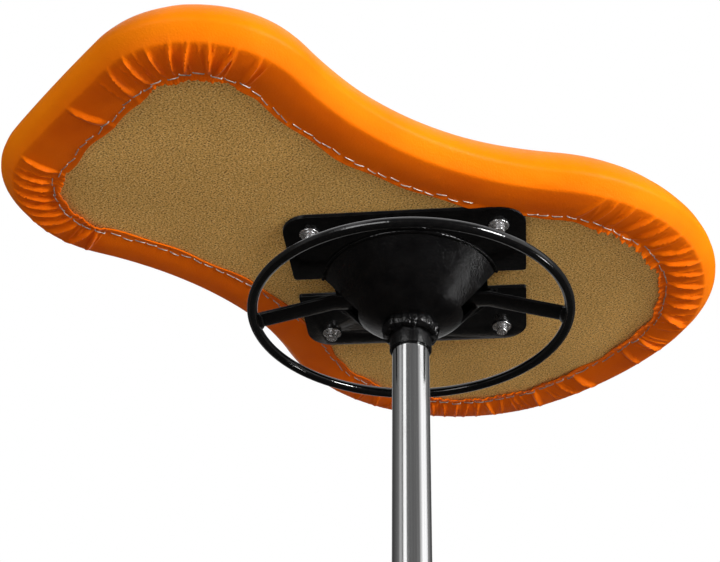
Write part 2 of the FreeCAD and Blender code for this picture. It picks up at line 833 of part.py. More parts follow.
def make_leg():
    """One leg, hollow below, with a long rib and cross ribs inside."""
    outside = leg_loft()
    hollow = leg_loft(leg_wall, leg_wall)
    half_rib = rib_thickness / 2
    low = hub_bottom - leg_wall
    high = hub_bottom + hub_height
    ribs = [box_between(Vector(leg_root_reach, -half_rib, low),
                        Vector(stem_circle_radius, half_rib, high))]
    pitch = (stem_circle_radius - hub_radius) / (rib_count + 1)
    for step in range(rib_count):
        reach = hub_radius + pitch * (step + 1)
        ribs.append(box_between(Vector(reach - half_rib, -leg_root_width, low),
                                Vector(reach + half_rib, leg_root_width, high)))
    ribs = [outside.common(rib) for rib in ribs]
    return outside.cut(hollow).fuse(ribs)


def leg_angles():
    """The direction of each leg."""
    return [first_leg_angle + full_turn / leg_count * step for step in range(leg_count)]


def make_star_base():
    """One moulding: a hub bored for the column, five legs and five caster bosses."""
    hub_top = hub_bottom + hub_height
    hub = revolved([(0, hub_bottom), (hub_radius, hub_bottom), (hub_radius, hub_top - hub_edge),
                    (hub_radius - hub_edge, hub_top), (0, hub_top)])
    leg = make_leg()
    boss = cylinder(boss_radius, boss_bottom, boss_bottom + boss_height, stem_circle_radius)
    boss_edges = [edge for edge in boss.Edges
                  if abs(edge.BoundBox.ZMin - boss_bottom - boss_height) < press_gap]
    boss = boss.makeFillet(leg_wall, boss_edges[:1])
    arm = leg.fuse(boss)
    arms = [turned(arm, angle) for angle in leg_angles()]
    base = hub.fuse(arms)
    taper_top = stand_tube_bottom + stand_tube_taper_length
    bore = revolved([
        (0, hub_bottom - cut_overrun),
        (stand_tube_foot_radius + press_gap, hub_bottom - cut_overrun),
        (stand_tube_foot_radius + press_gap, stand_tube_bottom),
        (stand_tube_radius + press_gap, taper_top),
        (stand_tube_radius + press_gap, max(taper_top, hub_top) + cut_overrun),
        (0, max(taper_top, hub_top) + cut_overrun),
    ])
    stem_bore = cylinder(stem_radius + running_gap, boss_bottom - cut_overrun,
                         boss_bottom + stem_bore_depth, stem_circle_radius)
    bores = [turned(stem_bore, angle) for angle in leg_angles()]
    return base.cut([bore] + bores).removeSplitter()


# Casters, modelled with the stem on the Z axis and the axle towards -Y

def across(radius, start, end):
    """A cylinder along X about the axle line, between two distances from the middle."""
    return Part.makeCylinder(radius, end - start, Vector(start, -caster_trail, wheel_radius),
                             Vector(1, 0, 0))


def hood_wedge(radius, half_width):
    """The sector of a disc about the axle that the hood covers."""
    middle_angle = (hood_start_angle + hood_end_angle) / 2
    centre = Vector(-half_width, -caster_trail, wheel_radius)
    points = []
    for angle in (hood_start_angle, middle_angle, hood_end_angle):
        spot = polar(radius, angle)
        points.append(centre + Vector(0, spot.x, spot.y))
    sector = Part.Wire([
        Part.LineSegment(centre, points[0]).toShape(),
        Part.Arc(*points).toShape(),
        Part.LineSegment(points[2], centre).toShape(),
    ])
    return Part.Face(sector).extrude(Vector(2 * half_width, 0, 0))


def make_caster_housing():
    """Hood over both wheels, the web between them, and the boss for the stem."""
    half_web = web_thickness / 2
    half_hood = half_web + wheel_side_gap + wheel_width + hood_overhang
    hood = hood_wedge(hood_outer_radius, half_hood)
    hood = hood.cut(across(wheel_radius + hood_gap, -half_hood - cut_overrun,
                           half_hood + cut_overrun))
    web = hood_wedge(hood_outer_radius - press_gap, half_web)
    web = web.fuse(across(wheel_hub_radius, -half_web, half_web))
    stem_bottom = housing_top - stem_in_housing
    boss = cylinder(half_web, wheel_radius - web_low_edge, housing_top)
    top_boss = cylinder(housing_boss_radius, wheel_radius + wheel_radius + hood_gap, housing_top)
    housing = hood.fuse([web, boss, top_boss])
    stem_hole = cylinder(stem_radius + press_gap, stem_bottom, housing_top + cut_overrun)
    axle_hole = across(axle_radius + press_gap, -half_web - cut_overrun, half_web + cut_overrun)
    return housing.cut([stem_hole, axle_hole]).removeSplitter()


def make_caster_stem():
    """Steel stem pressed into the housing, turning in the base's boss."""
    bottom = housing_top - stem_in_housing
    collar_top = housing_top + stem_collar_height
    top = boss_bottom + stem_in_base
    return revolved([
        (0, bottom), (stem_radius, bottom), (stem_radius, housing_top),
        (stem_collar_radius, housing_top), (stem_collar_radius, collar_top),
        (stem_radius, collar_top), (stem_radius, top - stem_edge), (stem_radius - stem_edge, top),
        (0, top),
    ])


def make_caster_axle():
    """Steel pin through the web into both wheels."""
    reach = web_thickness / 2 + wheel_side_gap + wheel_width - axle_end_wall - free_gap
    return across(axle_radius, -reach, reach)


def make_caster_wheel(side):
    """Moulded wheel, dished outside and hollow inside round its hub, open to the axle."""
    inner = web_thickness / 2 + wheel_side_gap
    outer = inner + wheel_width
    bore = axle_radius + running_gap
    bore_end = outer - axle_end_wall
    shoulder = wheel_radius - wheel_tread_edge
    points = [
        (bore, inner), (wheel_hub_radius, inner),
        (wheel_hub_radius, inner + wheel_inner_dish_depth),
        (wheel_dish_outer_radius, inner + wheel_inner_dish_depth),
        (wheel_dish_outer_radius, inner),
        (shoulder, inner), (wheel_radius, inner + wheel_tread_edge),
        (wheel_radius, outer - wheel_tread_edge), (shoulder, outer),
        (wheel_dish_outer_radius, outer),
        (wheel_dish_outer_radius - wheel_dish_depth, outer - wheel_dish_depth),
        (wheel_dish_inner_radius + wheel_dish_depth, outer - wheel_dish_depth),
        (wheel_dish_inner_radius, outer), (0, outer), (0, bore_end), (bore, bore_end),
    ]
    wheel = revolved(points)
    wheel = turned(wheel, quarter_turn * side, Vector(0, 1, 0))
    return moved(wheel, 0, -caster_trail, wheel_radius)


def caster_place(shape, index):
    """A caster piece at its leg's end, turned to its heading."""
    spot = polar(stem_circle_radius, leg_angles()[index])
    return moved(turned(shape, caster_headings[index]), spot.x, spot.y, 0)


def all_parts():
    """Every node's name with its shape or its list of shapes."""
    board_blank = seat_prism(board_edge_inset, plate_top, board_top)
    lever_ring = make_lever_ring()
    lever_bar = make_lever_bar(lever_ring)
    parts = {
        "seat_cover": make_seat_cover(plate_blank(free_gap)),
        "seat_foam": make_seat_foam(board_blank),
        "seat_board": make_seat_board(),
        "cover_staples": make_staples(),
        "tee_nuts": make_tee_nuts(),
        "mounting_screws": make_mounting_screws(),
        "washers": make_washers(),
        "mounting_plate": make_mounting_plate(),
        "mechanism_bowl": make_bowl(),
        "bowl_rim_weld": make_rim_weld(),
        "socket_tube": make_socket_tube(),
        "socket_weld": make_socket_weld(),
        "lever_ring": lever_ring,
        "lever_bar": lever_bar,
        "lever_welds": make_lever_welds(lever_ring, lever_bar),
        "valve_pin": make_valve_pin(),
        "pressure_tube": make_pressure_tube(),
        "valve_body": make_valve_body(),
        "rod_guide": make_rod_guide(),
        "rod_seal": make_rod_seal(),
        "piston_rod": make_piston_rod(),
        "piston": make_piston(),
        "piston_seal": make_piston_seal(),
        "rubber_buffer": make_rubber_buffer(),
        "retaining_clip": make_retaining_clip(),
        "upper_race": ring(race_radius, rod_stub_radius + press_gap, upper_race_bottom,
                           upper_race_top),
        "lower_race": ring(race_radius, rod_stub_radius + running_gap, end_plate_top,
                           lower_race_top),
        "bearing_balls": make_bearing_balls(),
        "ball_cage": make_ball_cage(),
        "stand_tube": make_stand_tube(),
        "tube_end_plate": make_end_plate(),
        "guide_sleeve": make_guide_sleeve(),
        "star_base": make_star_base(),
    }
    caster_parts = {
        "housing": make_caster_housing(),
        "stem": make_caster_stem(),
        "axle": make_caster_axle(),
        "wheel_left": make_caster_wheel(-1),
        "wheel_right": make_caster_wheel(1),
    }
    for index in range(leg_count):
        for name, shape in caster_parts.items():
            parts["caster_%d_%s" % (index + 1, name)] = caster_place(shape, index)
    return parts


def one_shape(shape):
    """A list of solids as one compound."""
    if isinstance(shape, list):
        return Part.makeCompound(shape)
    return shape


os.makedirs("parts", exist_ok=True)
for node, shape in all_parts().items():
    solid = one_shape(shape)
    solid.exportStep("parts/" + node + ".step")
    box = solid.BoundBox
    print("%-22s solids %3d valid %s volume %10.1f  z %7.2f to %7.2f" % (
        node, len(solid.Solids), solid.isValid(), solid.Volume, box.ZMin, box.ZMax))
print("plate lower face", plate_bottom, "socket foot", socket_bottom, "tube top", stand_tube_top)
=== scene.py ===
import math
import random

import bmesh
import bpy
import numpy as np
from mathutils import Matrix, Vector


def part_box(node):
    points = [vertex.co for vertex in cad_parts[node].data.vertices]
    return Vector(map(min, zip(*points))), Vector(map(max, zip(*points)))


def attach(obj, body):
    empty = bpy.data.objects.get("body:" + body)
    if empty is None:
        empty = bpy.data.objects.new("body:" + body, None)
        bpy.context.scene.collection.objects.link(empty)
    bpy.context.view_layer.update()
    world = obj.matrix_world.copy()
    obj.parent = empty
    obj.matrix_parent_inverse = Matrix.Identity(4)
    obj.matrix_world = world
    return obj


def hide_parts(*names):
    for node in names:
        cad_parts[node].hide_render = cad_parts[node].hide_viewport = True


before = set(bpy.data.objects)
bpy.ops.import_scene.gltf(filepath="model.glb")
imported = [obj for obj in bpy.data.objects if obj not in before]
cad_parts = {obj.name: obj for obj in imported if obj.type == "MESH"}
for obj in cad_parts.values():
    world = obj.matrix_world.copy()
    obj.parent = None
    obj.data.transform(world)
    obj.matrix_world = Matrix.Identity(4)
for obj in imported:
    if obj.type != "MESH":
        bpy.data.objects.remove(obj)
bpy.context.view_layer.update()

# Camera
# It stands low in front of the stool and looks up under the seat, as the photograph does.
# Metres, +Z up, the column on the Z axis, the seat's narrow end towards -Y.
camera_place = Vector((0.6685, -0.5824, 0.0566))
camera_heading = math.radians(51.48)
camera_rise = math.radians(33.80)
camera_roll = math.radians(1.08)
level_view = math.pi / 2

camera_data = bpy.data.cameras.new("camera")
camera_data.lens = 68.225
camera_data.sensor_width = 36.0
camera_data.clip_start = 0.01
camera = bpy.data.objects.new("camera", camera_data)
bpy.context.scene.collection.objects.link(camera)
camera.matrix_world = (Matrix.Translation(camera_place)
                       @ Matrix.Rotation(camera_heading, 4, "Z")
                       @ Matrix.Rotation(level_view + camera_rise, 4, "X")
                       @ Matrix.Rotation(camera_roll, 4, "Z"))
bpy.context.scene.camera = camera
bpy.context.scene.view_settings.view_transform = "Standard"


# Star base
# One moulding in glass-filled nylon: a hub bored for the column, five ribbed legs, five bosses.
# The CAD solid has its shape; the moulded skin is a fine, slightly uneven matt grain.
def new_finish(name, colour, roughness, metallic=0.0, shine=0.5):
    """A finish with one shader, whose patterns are read from object coordinates."""
    finish = bpy.data.materials.new(name)
    finish.use_nodes = True
    shader = finish.node_tree.nodes["Principled BSDF"]
    shader.inputs["Base Color"].default_value = (*colour, 1)
    shader.inputs["Roughness"].default_value = roughness
    shader.inputs["Metallic"].default_value = metallic
    shader.inputs["Specular IOR Level"].default_value = shine
    return finish


def add_pattern(finish, scale, stretch=(1, 1, 1), detail=3.0, cells=False):
    """A noise or cell pattern at so many repeats a metre, squeezed along each axis."""
    nodes, links = finish.node_tree.nodes, finish.node_tree.links
    place = nodes.new("ShaderNodeTexCoord")
    mapping = nodes.new("ShaderNodeMapping")
    mapping.inputs["Scale"].default_value = stretch
    pattern = nodes.new("ShaderNodeTexVoronoi" if cells else "ShaderNodeTexNoise")
    pattern.inputs["Scale"].default_value = scale
    if not cells:
        pattern.inputs["Detail"].default_value = detail
    links.new(place.outputs["Object"], mapping.inputs["Vector"])
    links.new(mapping.outputs["Vector"], pattern.inputs["Vector"])
    return pattern


def tint_by(finish, pattern, stops):
    """Colours the finish by a pattern: stops are (place from 0 to 1, colour)."""
    nodes, links = finish.node_tree.nodes, finish.node_tree.links
    ramp = nodes.new("ShaderNodeValToRGB")
    while len(ramp.color_ramp.elements) < len(stops):
        ramp.color_ramp.elements.new(0.5)
    for element, (place, colour) in zip(ramp.color_ramp.elements, stops):
        element.position = place
        element.color = (*colour, 1)
    links.new(pattern.outputs[0], ramp.inputs["Fac"])
    links.new(ramp.outputs["Color"], nodes["Principled BSDF"].inputs["Base Color"])
    return ramp


def add_tint(finish, pattern, stops, share):
    """Lays a second pattern's colours over the first by multiplying them."""
    nodes, links = finish.node_tree.nodes, finish.node_tree.links
    base = nodes["Principled BSDF"].inputs["Base Color"]
    below = base.links[0].from_socket
    ramp = tint_by(finish, pattern, stops)
    mix = nodes.new("ShaderNodeMix")
    mix.data_type = "RGBA"
    mix.blend_type = "MULTIPLY"
    mix.inputs["Factor"].default_value = share
    links.new(below, mix.inputs["A"])
    links.new(ramp.outputs["Color"], mix.inputs["B"])
    links.new(mix.outputs["Result"], base)


def roughen_by(finish, pattern, smooth, rough):
    """Varies the roughness between two values as a pattern goes from low to high."""
    low, high = 0.3, 0.7
    nodes, links = finish.node_tree.nodes, finish.node_tree.links
    spread = nodes.new("ShaderNodeMapRange")
    spread.inputs["From Min"].default_value = low
    spread.inputs["From Max"].default_value = high
    spread.inputs["To Min"].default_value = smooth
    spread.inputs["To Max"].default_value = rough
    links.new(pattern.outputs[0], spread.inputs["Value"])
    links.new(spread.outputs["Result"], nodes["Principled BSDF"].inputs["Roughness"])


def emboss_by(finish, pattern, height, strength=1.0):
    """Raises the surface by a pattern, on top of what already raises it. Height in metres."""
    nodes, links = finish.node_tree.nodes, finish.node_tree.links
    normal = nodes["Principled BSDF"].inputs["Normal"]
    bump = nodes.new("ShaderNodeBump")
    bump.inputs["Distance"].default_value = height
    bump.inputs["Strength"].default_value = strength
    if normal.links:
        links.new(normal.links[0].from_socket, bump.inputs["Normal"])
    links.new(pattern.outputs[0], bump.inputs["Height"])
    links.new(bump.outputs["Normal"], normal)


def dress(finish, *names):
    """Gives CAD nodes this finish."""
    for name in names:
        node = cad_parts[name]
        node.data.materials.clear()
        node.data.materials.append(finish)


moulded_nylon = new_finish("moulded_nylon", (0.018, 0.018, 0.019), 0.5)
nylon_skin = add_pattern(moulded_nylon, 60, detail=5)
tint_by(moulded_nylon, nylon_skin, [(0.3, (0.013, 0.013, 0.014)), (0.7, (0.026, 0.026, 0.027))])
roughen_by(moulded_nylon, nylon_skin, 0.42, 0.58)
emboss_by(moulded_nylon, add_pattern(moulded_nylon, 2600, detail=2), 0.00012, 0.5)
dress(moulded_nylon, "star_base")


# Casters
# Each has a nylon hood with a web between two wheels, a steel stem with a collar and a steel axle.
# The wheels are a harder, glossier nylon, scuffed grey where they roll.
wheel_nylon = new_finish("wheel_nylon", (0.02, 0.02, 0.021), 0.35)
wheel_scuff = add_pattern(wheel_nylon, 180, detail=6)
tint_by(wheel_nylon, wheel_scuff, [(0.35, (0.016, 0.016, 0.017)), (0.62, (0.03, 0.03, 0.031)),
                                   (0.8, (0.07, 0.068, 0.064))])
roughen_by(wheel_nylon, wheel_scuff, 0.28, 0.5)
emboss_by(wheel_nylon, add_pattern(wheel_nylon, 900, detail=3), 0.0001, 0.4)

zinc_steel = new_finish("zinc_steel", (0.66, 0.67, 0.68), 0.3, 1.0)
zinc_bloom = add_pattern(zinc_steel, 420, detail=4)
tint_by(zinc_steel, zinc_bloom, [(0.3, (0.5, 0.51, 0.52)), (0.7, (0.78, 0.78, 0.77))])
roughen_by(zinc_steel, zinc_bloom, 0.2, 0.38)
emboss_by(zinc_steel, add_pattern(zinc_steel, 3000, detail=2), 0.00004, 0.4)

for number in range(1, 6):
    dress(moulded_nylon, f"caster_{number}_housing")
    dress(wheel_nylon, f"caster_{number}_wheel_left", f"caster_{number}_wheel_right")
    dress(zinc_steel, f"caster_{number}_stem", f"caster_{number}_axle")


# Stand tube, guide sleeve and thrust bearing
# A chromed tube wedged in the hub, with a plastic bush pressed in its mouth and a bored end plate
# at its foot, where the gas lift's rod turns on a ball race and is held by a spring clip.
polished_steel = new_finish("polished_steel", (0.85, 0.85, 0.86), 0.12, 1.0)
draw_lines = add_pattern(polished_steel, 1400, (1, 1, 0.003), detail=3)
tint_by(polished_steel, draw_lines, [(0.3, (0.83, 0.83, 0.835)), (0.7, (0.99, 0.99, 0.99))])
roughen_by(polished_steel, add_pattern(polished_steel, 420, (1, 1, 0.01), detail=4), 0.09, 0.17)
emboss_by(polished_steel, draw_lines, 0.00001, 0.3)

guide_plastic = new_finish("guide_plastic", (0.022, 0.022, 0.023), 0.4)
guide_turning = add_pattern(guide_plastic, 300, (0.2, 0.2, 6), detail=3)
tint_by(guide_plastic, guide_turning, [(0.3, (0.016, 0.016, 0.017)), (0.7, (0.034, 0.034, 0.035))])
roughen_by(guide_plastic, guide_turning, 0.32, 0.5)
emboss_by(guide_plastic, guide_turning, 0.00004, 0.5)

ground_steel = new_finish("ground_steel", (0.45, 0.45, 0.46), 0.28, 1.0)
grinding = add_pattern(ground_steel, 500, (1, 1, 12), detail=3)
tint_by(ground_steel, grinding, [(0.3, (0.36, 0.36, 0.37)), (0.7, (0.55, 0.55, 0.55))])
roughen_by(ground_steel, grinding, 0.18, 0.34)
emboss_by(ground_steel, grinding, 0.00002, 0.4)

cage_brass = new_finish("cage_brass", (0.6, 0.42, 0.16), 0.35, 1.0)
brass_stain = add_pattern(cage_brass, 700, detail=4)
tint_by(cage_brass, brass_stain, [(0.3, (0.45, 0.3, 0.11)), (0.7, (0.7, 0.5, 0.2))])
roughen_by(cage_brass, brass_stain, 0.25, 0.45)

dress(polished_steel, "stand_tube")
dress(guide_plastic, "guide_sleeve")
dress(zinc_steel, "tube_end_plate", "retaining_clip")
dress(ground_steel, "upper_race", "lower_race", "bearing_balls")
dress(cage_brass, "ball_cage")


# Gas lift
# A polished pressure tube that wedges into the socket under the seat. Inside it are the valve with
# its release pin, the guide bush and seal, and the piston on a ground rod with a rubber buffer.
cast_alloy = new_finish("cast_alloy", (0.42, 0.42, 0.43), 0.42, 1.0)
alloy_grain = add_pattern(cast_alloy, 600, detail=4)
tint_by(cast_alloy, alloy_grain, [(0.3, (0.33, 0.33, 0.34)), (0.7, (0.5, 0.5, 0.5))])
roughen_by(cast_alloy, alloy_grain, 0.34, 0.52)

black_rubber = new_finish("black_rubber", (0.02, 0.02, 0.02), 0.75)
rubber_bloom = add_pattern(black_rubber, 400, detail=5)
tint_by(black_rubber, rubber_bloom, [(0.3, (0.014, 0.014, 0.014)), (0.7, (0.035, 0.035, 0.034))])
emboss_by(black_rubber, add_pattern(black_rubber, 2500), 0.00008, 0.5)

dress(polished_steel, "pressure_tube")
dress(ground_steel, "piston_rod")
dress(cast_alloy, "valve_body", "piston")
dress(guide_plastic, "rod_guide")
dress(black_rubber, "rod_seal", "piston_seal", "rubber_buffer")
dress(zinc_steel, "valve_pin")


# Lever
# A round rod bent to a ring and welded shut, with a flat bar welded across it that passes through
# the bowl and bears on the release pin. All of it is in gloss black powder coat.
powder_coat = new_finish("powder_coat", (0.004, 0.004, 0.0043), 0.16, shine=0.24)
coat_flow = add_pattern(powder_coat, 140, detail=4)
tint_by(powder_coat, coat_flow, [(0.3, (0.0015, 0.0015, 0.0017)), (0.7, (0.004, 0.004, 0.0042))])
roughen_by(powder_coat, coat_flow, 0.12, 0.22)
emboss_by(powder_coat, add_pattern(powder_coat, 380, detail=2), 0.00022, 0.45)
gloss_coat = new_finish("gloss_coat", (0.003, 0.003, 0.0033), 0.09)
ring_flow = add_pattern(gloss_coat, 200, detail=4)
tint_by(gloss_coat, ring_flow, [(0.3, (0.0015, 0.0015, 0.0017)), (0.7, (0.004, 0.004, 0.0042))])
roughen_by(gloss_coat, ring_flow, 0.06, 0.13)
emboss_by(gloss_coat, add_pattern(gloss_coat, 420, detail=2), 0.00016, 0.5)
dress(gloss_coat, "lever_ring")
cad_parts["lever_ring"].visible_glossy = False

plate_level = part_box("mounting_plate")[0].z
slot_offset, lever_turn, mechanism_turn = 0.0025, math.radians(47), math.radians(45)


def only(piece):
    """Makes a piece the one that the next operators act on."""
    bpy.ops.object.select_all(action="DESELECT")
    piece.select_set(True)
    bpy.context.view_layer.objects.active = piece


merge_distance = 0.000002
weld_smoothing = math.radians(70)


def ease_corners(node, name, width, finish, body):
    """Stands a copy of a CAD node in its place, with its sharp corners rounded off a little."""
    flat_within, sharp_past, smooth_within = (math.radians(angle) for angle in (0.4, 40, 35))
    piece = bpy.data.objects.new(name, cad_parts[node].data.copy())
    bpy.context.scene.collection.objects.link(piece)
    piece.data.materials.clear()
    piece.data.materials.append(finish)
    only(piece)
    bpy.ops.object.mode_set(mode="EDIT")
    bpy.ops.mesh.select_all(action="SELECT")
    bpy.ops.mesh.remove_doubles(threshold=merge_distance)
    bpy.ops.mesh.dissolve_limited(angle_limit=flat_within)
    bpy.ops.object.mode_set(mode="OBJECT")
    bpy.ops.object.modifier_add(type="BEVEL")
    round_off = piece.modifiers[-1]
    round_off.width = width
    round_off.segments = 2
    round_off.limit_method = "ANGLE"
    round_off.angle_limit = sharp_past
    bpy.ops.object.modifier_apply(modifier=round_off.name)
    bpy.ops.object.shade_smooth_by_angle(angle=smooth_within)
    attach(piece, body)
    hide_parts(node)
    return piece


def ripple_bead(piece, centre, drop_angle, height, seed):
    """Gives a bead the overlapping drops of a hand-laid weld, along its turn about a centre."""
    drop_count, unevenness, waves_round, waves_up = 400, 0.3, 9, 1900
    chance = random.Random(seed)
    drops = [(chance.uniform(0.4, 1.0), chance.uniform(-0.3, 0.3)) for drop in range(drop_count)]
    for point in piece.data.vertices:
        offset = point.co - Vector(centre)
        angle = math.atan2(offset.y, offset.x) + math.pi
        place = angle / drop_angle
        size, shift = drops[int(place) % drop_count]
        in_drop = place - int(place)
        swell = size * math.sqrt(max(0.0, 1 - (2 * in_drop - 1) ** 2))
        swell += unevenness * math.sin(angle * waves_round + seed)
        swell += unevenness * math.sin(point.co.z * waves_up + angle * 5)
        point.co += point.normal * height * swell
        point.co.z += shift * height * math.sin(in_drop * math.pi)
    piece.data.update()


ease_corners("lever_bar", "bar", 0.0004, powder_coat, "lever")

arm_reach, arm_bead = 0.1165, (0.0030, 0.0103, 0.0030)
arm_ripple, drops_along = 0.0005, 2600
ring_low, ring_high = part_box("lever_ring")
ring_level = (ring_low.z + ring_high.z) / 2
lever_beads = []
for side in (-1, 1):
    bpy.ops.object.select_all(action="DESELECT")
    bpy.ops.mesh.primitive_uv_sphere_add(segments=40, ring_count=24, radius=1)
    bead = bpy.context.object
    bead.data.transform(Matrix.Rotation(math.pi / 2, 4, "X"))
    bead.data.transform(Matrix.Diagonal((*arm_bead, 1)))
    chance = random.Random(30 + side)
    for point in bead.data.vertices:
        bend = 1.5 * math.sin(point.co.z * 900 + side)
        swell = math.sin(point.co.y * drops_along + bend) * 0.5
        point.co += point.normal * arm_ripple * (swell + chance.uniform(-0.2, 0.2))
    bead.data.transform(Matrix.Rotation(lever_turn, 4, "Z")
                        @ Matrix.Translation((side * arm_reach, slot_offset, ring_level)))
    lever_beads.append(bead)
only(lever_beads[0])
lever_beads[1].select_set(True)
bpy.ops.object.join()
arm_welds = bpy.context.object
arm_welds.name = "arm_welds"
arm_welds.data.materials.append(powder_coat)
bpy.ops.object.shade_smooth_by_angle(angle=math.radians(60))
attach(arm_welds, "lever")
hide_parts("lever_welds")


# Bowl and socket
# The bowl is pressed from sheet and welded to the plate by two arcs, one on each side of the plate's
# mouths. The socket tube goes up through its bottom and is held by one heavy bead, laid drop by drop.
pebbled_coat = new_finish("pebbled_coat", (0.004, 0.004, 0.0043), 0.2, shine=0.24)
pebble_flow = add_pattern(pebbled_coat, 90, detail=5)
tint_by(pebbled_coat, pebble_flow, [(0.3, (0.002, 0.002, 0.0023)), (0.7, (0.005, 0.005, 0.0053))])
roughen_by(pebbled_coat, pebble_flow, 0.14, 0.24)
emboss_by(pebbled_coat, add_pattern(pebbled_coat, 640, detail=2), 0.00042, 1.0)
dress(pebbled_coat, "mechanism_bowl")
ease_corners("socket_tube", "socket", 0.0007, pebbled_coat, "seat")

socket_radius, socket_foot = 0.016, plate_level - 0.043
socket_bead_radius, socket_bead_reach, socket_bead_fall = 0.0040, 0.0014, 0.0022
socket_bead_stretch, socket_drop_angle, socket_drop_height = 1.35, math.radians(17), 0.0016
bpy.ops.object.select_all(action="DESELECT")
bpy.ops.mesh.primitive_torus_add(major_segments=240, minor_segments=24, location=(0, 0, 0),
                                 major_radius=socket_radius + socket_bead_reach,
                                 minor_radius=socket_bead_radius)
socket_bead = bpy.context.object
socket_bead.name = "socket_bead"
socket_bead.data.transform(Matrix.Translation((0, 0, socket_foot - socket_bead_fall))
                           @ Matrix.Diagonal((1, 1, socket_bead_stretch, 1)))
ripple_bead(socket_bead, (0, 0, socket_foot), socket_drop_angle, socket_drop_height, 5)
socket_bead.data.materials.append(pebbled_coat)
bpy.ops.object.shade_smooth_by_angle(angle=weld_smoothing)
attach(socket_bead, "seat")
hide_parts("socket_weld")

rim_radius, rim_bead_radius, rim_bead_fall = 0.0680, 0.0011, 0.0006
rim_drop_angle, rim_drop_height = math.radians(3.2), 0.0004
slot_near, slot_far = -0.0095, 0.0145
far_turn, near_turn = math.asin(slot_far / rim_radius), math.asin(-slot_near / rim_radius)
rim_arcs = []
for first, last in ((far_turn, math.pi - far_turn), (math.pi + near_turn, 2 * math.pi - near_turn)):
    bpy.ops.object.select_all(action="DESELECT")
    bpy.ops.mesh.primitive_circle_add(vertices=14, radius=rim_bead_radius, fill_type="NGON",
                                      rotation=(math.pi / 2, 0, 0),
                                      location=(rim_radius, 0, plate_level - rim_bead_fall))
    arc = bpy.context.object
    bpy.ops.object.transform_apply(location=True, rotation=True, scale=True)
    arc.data.transform(Matrix.Rotation(mechanism_turn + first, 4, "Z"))
    bpy.ops.object.mode_set(mode="EDIT")
    bpy.ops.mesh.select_all(action="SELECT")
    bpy.ops.mesh.spin(steps=260, angle=first - last, center=(0, 0, 0), axis=(0, 0, 1))
    bpy.ops.mesh.select_all(action="SELECT")
    bpy.ops.mesh.remove_doubles(threshold=merge_distance)
    bpy.ops.mesh.normals_make_consistent(inside=False)
    bpy.ops.object.mode_set(mode="OBJECT")
    rim_arcs.append(arc)
only(rim_arcs[0])
rim_arcs[1].select_set(True)
bpy.ops.object.join()
rim_bead = bpy.context.object
rim_bead.name = "rim_bead"
ripple_bead(rim_bead, (0, 0, plate_level), rim_drop_angle, rim_drop_height, 8)
rim_bead.data.materials.append(powder_coat)
bpy.ops.object.shade_smooth_by_angle(angle=weld_smoothing)
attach(rim_bead, "seat")
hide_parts("bowl_rim_weld")


# Mounting plate and screws
# A square steel plate with rounded corners and a mouth in two of its sides for the lever, held by
# four socket head screws on washers, which go up through the board into tee nuts.
ease_corners("mounting_plate", "plate", 0.0005, powder_coat, "seat")
screw_steel = new_finish("screw_steel", (0.72, 0.72, 0.73), 0.24, 0.85)
screw_bloom = add_pattern(screw_steel, 900, detail=3)
tint_by(screw_steel, screw_bloom, [(0.3, (0.58, 0.58, 0.6)), (0.7, (0.85, 0.85, 0.85))])
roughen_by(screw_steel, screw_bloom, 0.18, 0.3)
emboss_by(screw_steel, add_pattern(screw_steel, 2400, detail=2), 0.00004, 0.4)
dress(screw_steel, "tee_nuts")
ease_corners("mounting_screws", "screws", 0.0005, screw_steel, "seat")
washer_steel = new_finish("washer_steel", (0.42, 0.42, 0.43), 0.25, 0.85)
washer_bloom = add_pattern(washer_steel, 700, detail=3)
tint_by(washer_steel, washer_bloom, [(0.3, (0.5, 0.5, 0.51)), (0.7, (0.72, 0.72, 0.72))])
roughen_by(washer_steel, washer_bloom, 0.18, 0.3)
emboss_by(washer_steel, add_pattern(washer_steel, 2400, detail=2), 0.00004, 0.4)
ease_corners("washers", "washer_set", 0.0005, washer_steel, "seat")


# Seat board
# Bare particle board: pale chips and dark specks pressed in a tan ground, seen inside the hem.
# The CAD solid has its outline, its holes and its counterbores, so only its finish is made here.
particle_board = new_finish("particle_board", (0.45, 0.3, 0.13), 0.75)
dress(particle_board, "seat_board")
tint_by(particle_board, add_pattern(particle_board, 800, detail=6),
        [(0.34, (0.13, 0.07, 0.018)), (0.43, (0.64, 0.40, 0.112)), (0.56, (0.91, 0.61, 0.185)),
         (0.66, (1.0, 0.84, 0.40))])
add_tint(particle_board, add_pattern(particle_board, 1500, cells=True),
         [(0.08, (0.30, 0.20, 0.13)), (0.34, (1, 1, 1))], 0.75)
add_tint(particle_board, add_pattern(particle_board, 14, detail=2),
         [(0.3, (0.78, 0.76, 0.7)), (0.7, (1, 1, 1))], 0.7)
emboss_by(particle_board, add_pattern(particle_board, 900, detail=4), 0.0003, 0.5)


# Seat foam
# A moulded pad over the board and down round its edge, hidden by the cover.
# It is built from rings of the seat's outline, from under the board's edge up to the crown.
columns = 600
waist_density = 0.5
pole_share = 0.04
front_reach, front_end_radius = 0.318, 2.000
front_half_width, front_corner_radius = 0.141, 0.089
waist_half_width, waist_radius = 0.126, 0.243
back_half_width, back_lobe_radius, back_end_radius = 0.189, 0.156, 0.305
cushion_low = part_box("seat_cover")[0].z
widest_height = cushion_low + 0.012
crease_inset = 0.011
lower_profile = [(0.0128, 0.0, 90), (0.0113, 0.0001, 84), (0.0104, 0.0006, 64), (0.0096, 0.0014, 50),
                 (0.0078, 0.0034, 46), (0.0050, 0.0064, 38), (0.0021, 0.0095, 26)]
upper_inset, upper_rise = 0.068, 0.040
# The crown's rings close towards a point from which every part of the inset outline is in view.
crown_middle, crown_rise = -0.0365, 0.006


